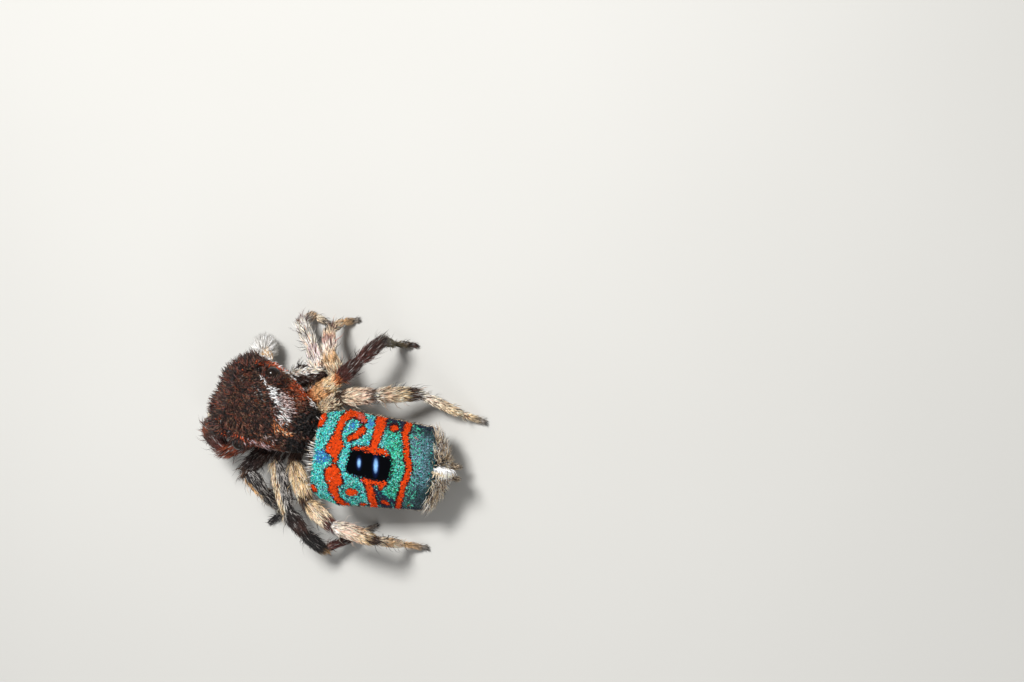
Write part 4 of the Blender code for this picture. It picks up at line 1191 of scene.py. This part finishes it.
leg_skin_finish = chitin("leg skin", 0.42, 0.025, 0.003)
leg_hair_finish = hairy("leg hair", 0.5, 0.08)
claw_finish = chitin("claw", 0.25, 0.01, 0.001)
for name in LEG_POSES:
    pair = int(name[-1])
    rng = np.random.default_rng(100 + 10 * pair + len(name))
    path = leg_path(name)
    radii = list(LEG_RADII[pair]) + [LEG_RADII[pair][5] * 0.9]
    forms = [segment_form(*path[k:k + 2], radii[k], LEG_SWELLS[k]) for k in range(len(radii))]
    leg = fuse(f"leg_{name}_skin", forms, LEG_GRAIN, 3)
    points = points_of(leg)
    points[:, 2] = np.maximum(points[:, 2], 0.0)
    move_points(leg, points)
    spots, outward = samples(leg, LEG_HAIRS, rng)
    where, share, ways, outs = nearest_segment(spots, path, radii)
    size = HAIR_SIZES[where] * rng.uniform(0.7, 1.3, len(spots))
    lies = ways + rng.normal(0, 0.13, spots.shape)
    length = LEG_HAIR_LENGTH * size
    shapes = blades(spots, outward, lies, length, 0.015, rng.uniform(0.07, 0.32, len(spots)))
    colour = leg_colours(name, spots, path, radii, rng, 0.02)
    turn = np.arctan2(outs[:, 2], outs[:, 0]) / math.tau + 0.5
    unwrap = np.column_stack((turn, (where + share) / 7))
    tall = rng.random(len(spots)) < TALL_SHARE
    count = tall.sum()
    lies = ways[tall] + rng.normal(0, 0.3, (count, 3))
    length = TALL_HAIR_LENGTH * size[tall]
    stand = blades(spots[tall], outward[tall], lies, length, 0.013, rng.uniform(0.6, 1.15, count))
    shades = np.where((rng.random(count) < 0.5)[:, None], COAL, colour[tall] * 0.8)
    shapes = np.concatenate((shapes[~tall], stand))
    colour = np.concatenate((colour[~tall], shades))
    unwrap = np.concatenate((unwrap[~tall], unwrap[tall]))
    coat(f"leg_{name}_coat", shapes, colour, unwrap, leg_hair_finish, "cream", 1.1)
    paint(leg, leg_colours(name, points_of(leg), path, radii, rng, 0.0) * SKIN_SHADE["leg"])
    parts = ("hip", "femur", "shank", "foot")
    settle(leg, leg_skin_finish, "maroon", *(f"leg_{name}_{part}" for part in parts))

    toe, way = path[7], unit(path[7] - path[6])
    hooks = []
    for side in (1, -1):
        hook = ball(1.0, (0, 0, 0), 10, 14)
        local = points_of(hook)
        share = (1 - local[:, 2]) / 2
        girth = CLAW_GIRTH * (1 - share) ** 0.7 + 0.001
        bend = np.outer(share * CLAW_LENGTH, way) + np.outer(CLAW_ARCH * np.sin(share * 2.6), PLUMB)
        beside = unit(np.cross(way, PLUMB))
        root = toe + way * 0.015 + beside * side * 0.016 + PLUMB * 0.012
        ring = local[:, :1] * beside + local[:, 1:2] * PLUMB
        points = root + bend + ring * girth[:, None]
        points[:, 2] = np.maximum(points[:, 2], 0.0)
        move_points(hook, points)
        hooks.append(hook)
    claws = joined(f"leg_{name}_claws", hooks)
    paint(claws, COAL * 0.6 * np.ones((len(claws.data.vertices), 1)))
    settle(claws, claw_finish, "cuticle")

# Palps. A pair of short jointed limbs beside the mouth, each ending in a swollen tip with a white brush.
# The right one shows beyond the head, its brush spread upwards, and the left one is the same mirrored.
BRUSH_SHADES = SNOW, SNOW * 1.2, SNOW * 0.85
for side, side_name in SIDES:
    rng = np.random.default_rng(300 + side)
    root, elbow = on_head(0.62, side * 0.28, 0.03), on_head(0.80, side * 0.62, 0.15)
    wrist, tip = on_head(0.95, side * 0.77, 0.19), on_head(1.16, side * 0.74, -0.10)
    forms = [segment_form(root, elbow, 0.070, 1.0), segment_form(elbow, wrist, 0.072, 1.0)]
    arm = fuse(f"palp_arm_{side_name}_skin", forms, PALP_GRAIN, 3)
    forms = [segment_form(wrist + unit(tip - wrist) * 0.05, tip, 0.115, 1.1)]
    bulb = fuse(f"palp_tip_{side_name}_skin", forms, PALP_GRAIN, 3)
    for part, skin, start, end, count, length, lean, lift, shades, slot in (
        ("arm", arm, root, wrist, 900, 0.10, (1.0, 0.0, 0.0), (0.15, 0.5), (TAN, CREAM, SNOW), "cream"),
        ("tip", bulb, wrist, tip, 1000, 0.23, (1.6, 1.1, 0.2), (0.2, 0.7), BRUSH_SHADES, "white"),
    ):
        spots, outward = samples(skin, count, rng)
        way = unit(end - start)
        share = ((spots - start) @ way) / np.linalg.norm(end - start)
        lies = way * lean[0] + HEAD_RIGHT * side * lean[1]
        lies = lies + HEAD_UP * lean[2] + rng.normal(0, 0.22, spots.shape)
        lift = rng.uniform(*lift, count)
        shapes = blades(spots, outward, lies, length * rng.uniform(0.6, 1.2, count), 0.019, lift)
        pick = rng.integers(0, 3, count)
        colour = np.array(shades)[pick] * rng.uniform(0.75, 1.05, (count, 1))
        turn = np.arctan2(outward @ HEAD_UP, outward @ HEAD_RIGHT) / math.tau + 0.5
        unwrap = np.column_stack((turn, np.clip(share, 0, 1) * 0.9 + 0.05))
        coat(f"palp_{part}_{side_name}_coat", shapes, colour, unwrap, leg_hair_finish, slot)
        tone = shades[0] * SKIN_SHADE["palp"]
        paint(skin, tone * rng.uniform(0.8, 1.1, (len(skin.data.vertices), 1)))
        settle(skin, leg_skin_finish, slot, f"palp_{part}_{side_name}")

# Jaws. Two upright brown jaws under the face, each with a small dark fang folded in at its end.
# They are bare and a little glossy, with a few pale hairs in front.
jaw_finish = chitin("jaw", 0.28, 0.03, 0.002)
AMBER = srgb(120, 62, 34)
for side, side_name in SIDES:
    rng = np.random.default_rng(400 + side)
    top, middle = on_head(0.855, side * 0.15, 0.33), on_head(0.875, side * 0.155, 0.10)
    low, fang = on_head(0.835, side * 0.13, -0.10), on_head(0.80, side * 0.085, -0.155)
    forms = [segment_form(top, middle, 0.118, 1.0), segment_form(middle, low, 0.105, 1.05)]
    forms.append(segment_form(low, fang, 0.034, 1.0))
    jaw = fuse(f"chelicera_{side_name}_skin", forms, FINE_GRAIN, 3)
    points = points_of(jaw)
    dark = np.clip((0.0 - in_head(points)[2]) / 0.14, 0, 1)[:, None]
    paint(jaw, AMBER + (COAL - AMBER) * dark)
    spots, outward = samples(jaw, 420, rng)
    front = outward @ HEAD_FORWARD > -0.2
    spots, outward = spots[front], outward[front]
    shapes = hairs(rng, spots, outward, -HEAD_UP, 0.2, 0.07, (0.7, 1.3), 0.012, (0.1, 0.4))
    colour = mottled(rng, len(spots), (0.6,), (CREAM, UMBER), 0.7, 1.0)
    unwrap = np.column_stack((outward @ HEAD_RIGHT * 0.4 + 0.5, in_head(spots)[2] + 0.35))
    coat(f"chelicera_{side_name}_hair", shapes, colour, unwrap, leg_hair_finish, "cuticle")
    settle(jaw, jaw_finish, "cuticle", f"chelicera_{side_name}")

# Underside and waist. A shield-shaped breast plate between the hips, the lip and its two side plates in
# front of it, and the narrow soft waist that carries the abdomen.
BREAST_SLICES = np.array((
    (-0.57, 0.06, 0.0, 0.16), (-0.50, 0.13, -0.07, 0.22), (-0.40, 0.17, -0.11, 0.26),
    (-0.10, 0.215, -0.11, 0.27), (0.20, 0.20, -0.11, 0.27), (0.40, 0.15, -0.09, 0.25),
    (0.465, 0.09, 0.0, 0.18),
))
MOUTH_SLICES = np.array((
    (0.485, 0.09, 0.02, 0.22), (0.54, 0.16, -0.07, 0.26), (0.60, 0.19, -0.11, 0.27),
    (0.68, 0.17, -0.12, 0.26), (0.715, 0.12, -0.08, 0.22),
))


def under_section(along, turn, spread, half, low, top):
    across, rise = rounded(turn, 2.8)
    middle, reach = (low + top) / 2, (top - low) / 2
    return on_head(along, half * across * spread, middle + reach * rise * spread)


rng = np.random.default_rng(500)
for node, slices, tone, count in (
    ("sternum", BREAST_SLICES, COCOA, 1500),
    ("mouthparts", MOUTH_SLICES, AMBER, 260),
):
    piece = shaped_shell(slices, under_section, 14.0, 40, 34)
    piece.name = f"{node}_skin"
    points = points_of(piece)
    groove = np.abs(in_head(points)[1]) if node == "mouthparts" else np.ones(len(points))
    shade = np.clip(groove / 0.03, 0.35, 1.0)[:, None]
    paint(piece, tone * shade * rng.uniform(0.85, 1.15, (len(points), 1)))
    spots, outward = samples(piece, count, rng)
    low_side = outward @ HEAD_UP < 0.2
    spots, outward = spots[low_side], outward[low_side]
    lies = -HEAD_FORWARD if node == "sternum" else HEAD_FORWARD
    shapes = hairs(rng, spots, outward, lies, 0.3, 0.08, (0.7, 1.2), 0.015, (0.15, 0.5))
    colour = mottled(rng, len(spots), (0.6,), (CREAM, ASH), 0.6, 1.0)
    f, r, _ = in_head(spots)
    unwrap = np.column_stack((r + 0.5, f * 0.7 + 0.45))
    coat(f"{node}_hair", shapes, colour, unwrap, leg_hair_finish, "cuticle")
    settle(piece, leg_skin_finish, "cuticle", node)
waist_start, waist_end = on_head(-0.585, 0.0, 0.12), np.array((-0.21, 0.812, 0.785))
waist_bend = on_head(-0.68, 0.0, 0.12)
forms = [segment_form(waist_start, waist_bend, 0.068, 1.0), segment_form(waist_bend, waist_end, 0.066, 1.0)]
waist = fuse("waist", forms, FINE_GRAIN, 3)
paint(waist, COCOA * rng.uniform(0.7, 1.1, (len(waist.data.vertices), 1)))
settle(waist, leg_skin_finish, "cuticle", "pedicel")

# Spinnerets. Four short silk tubes on a low ring at the rear of the bag, under the tuft.
# They are soft, dull brown and set with short pale hair.
hub = on_bag(-1.0595 * PLATE_LENGTH, 0.0, -0.45)
forms = [segment_form(hub, hub - BAG_FORWARD * 0.045, 0.14, 1.0)]
for side in (1, -1):
    for length, spread, lift in ((0.24, 0.10, 0.02), (0.18, 0.06, -0.09)):
        start = on_bag(-1.075 * PLATE_LENGTH, side * spread * 0.8, -0.44 + lift)
        end = start - BAG_FORWARD * length + BAG_RIGHT * side * 0.03
        forms.append(segment_form(start, start * 0.4 + end * 0.6, 0.054, 1.0))
        forms.append(segment_form(start * 0.5 + end * 0.5, end, 0.036, 1.0))
silk = fuse("spinnerets_skin", forms, FINE_GRAIN, 2)
rng = np.random.default_rng(600)
paint(silk, UMBER * rng.uniform(0.8, 1.3, (len(silk.data.vertices), 1)))
spots, outward = samples(silk, 900, rng)
shapes = hairs(rng, spots, outward, -BAG_FORWARD, 0.25, 0.08, (0.7, 1.3), 0.013, (0.2, 0.6))
colour = mottled(rng, len(spots), (0.5,), (CREAM, GREY_BROWN), 0.6, 1.0)
back_way, right, up = in_bag(spots)
unwrap = np.column_stack((right * 1.5 + 0.5, up + 0.95))
coat("spinnerets_hair", shapes, colour, unwrap, bag_coat_finish, "grey")
settle(silk, leg_skin_finish, "grey", "spinnerets")
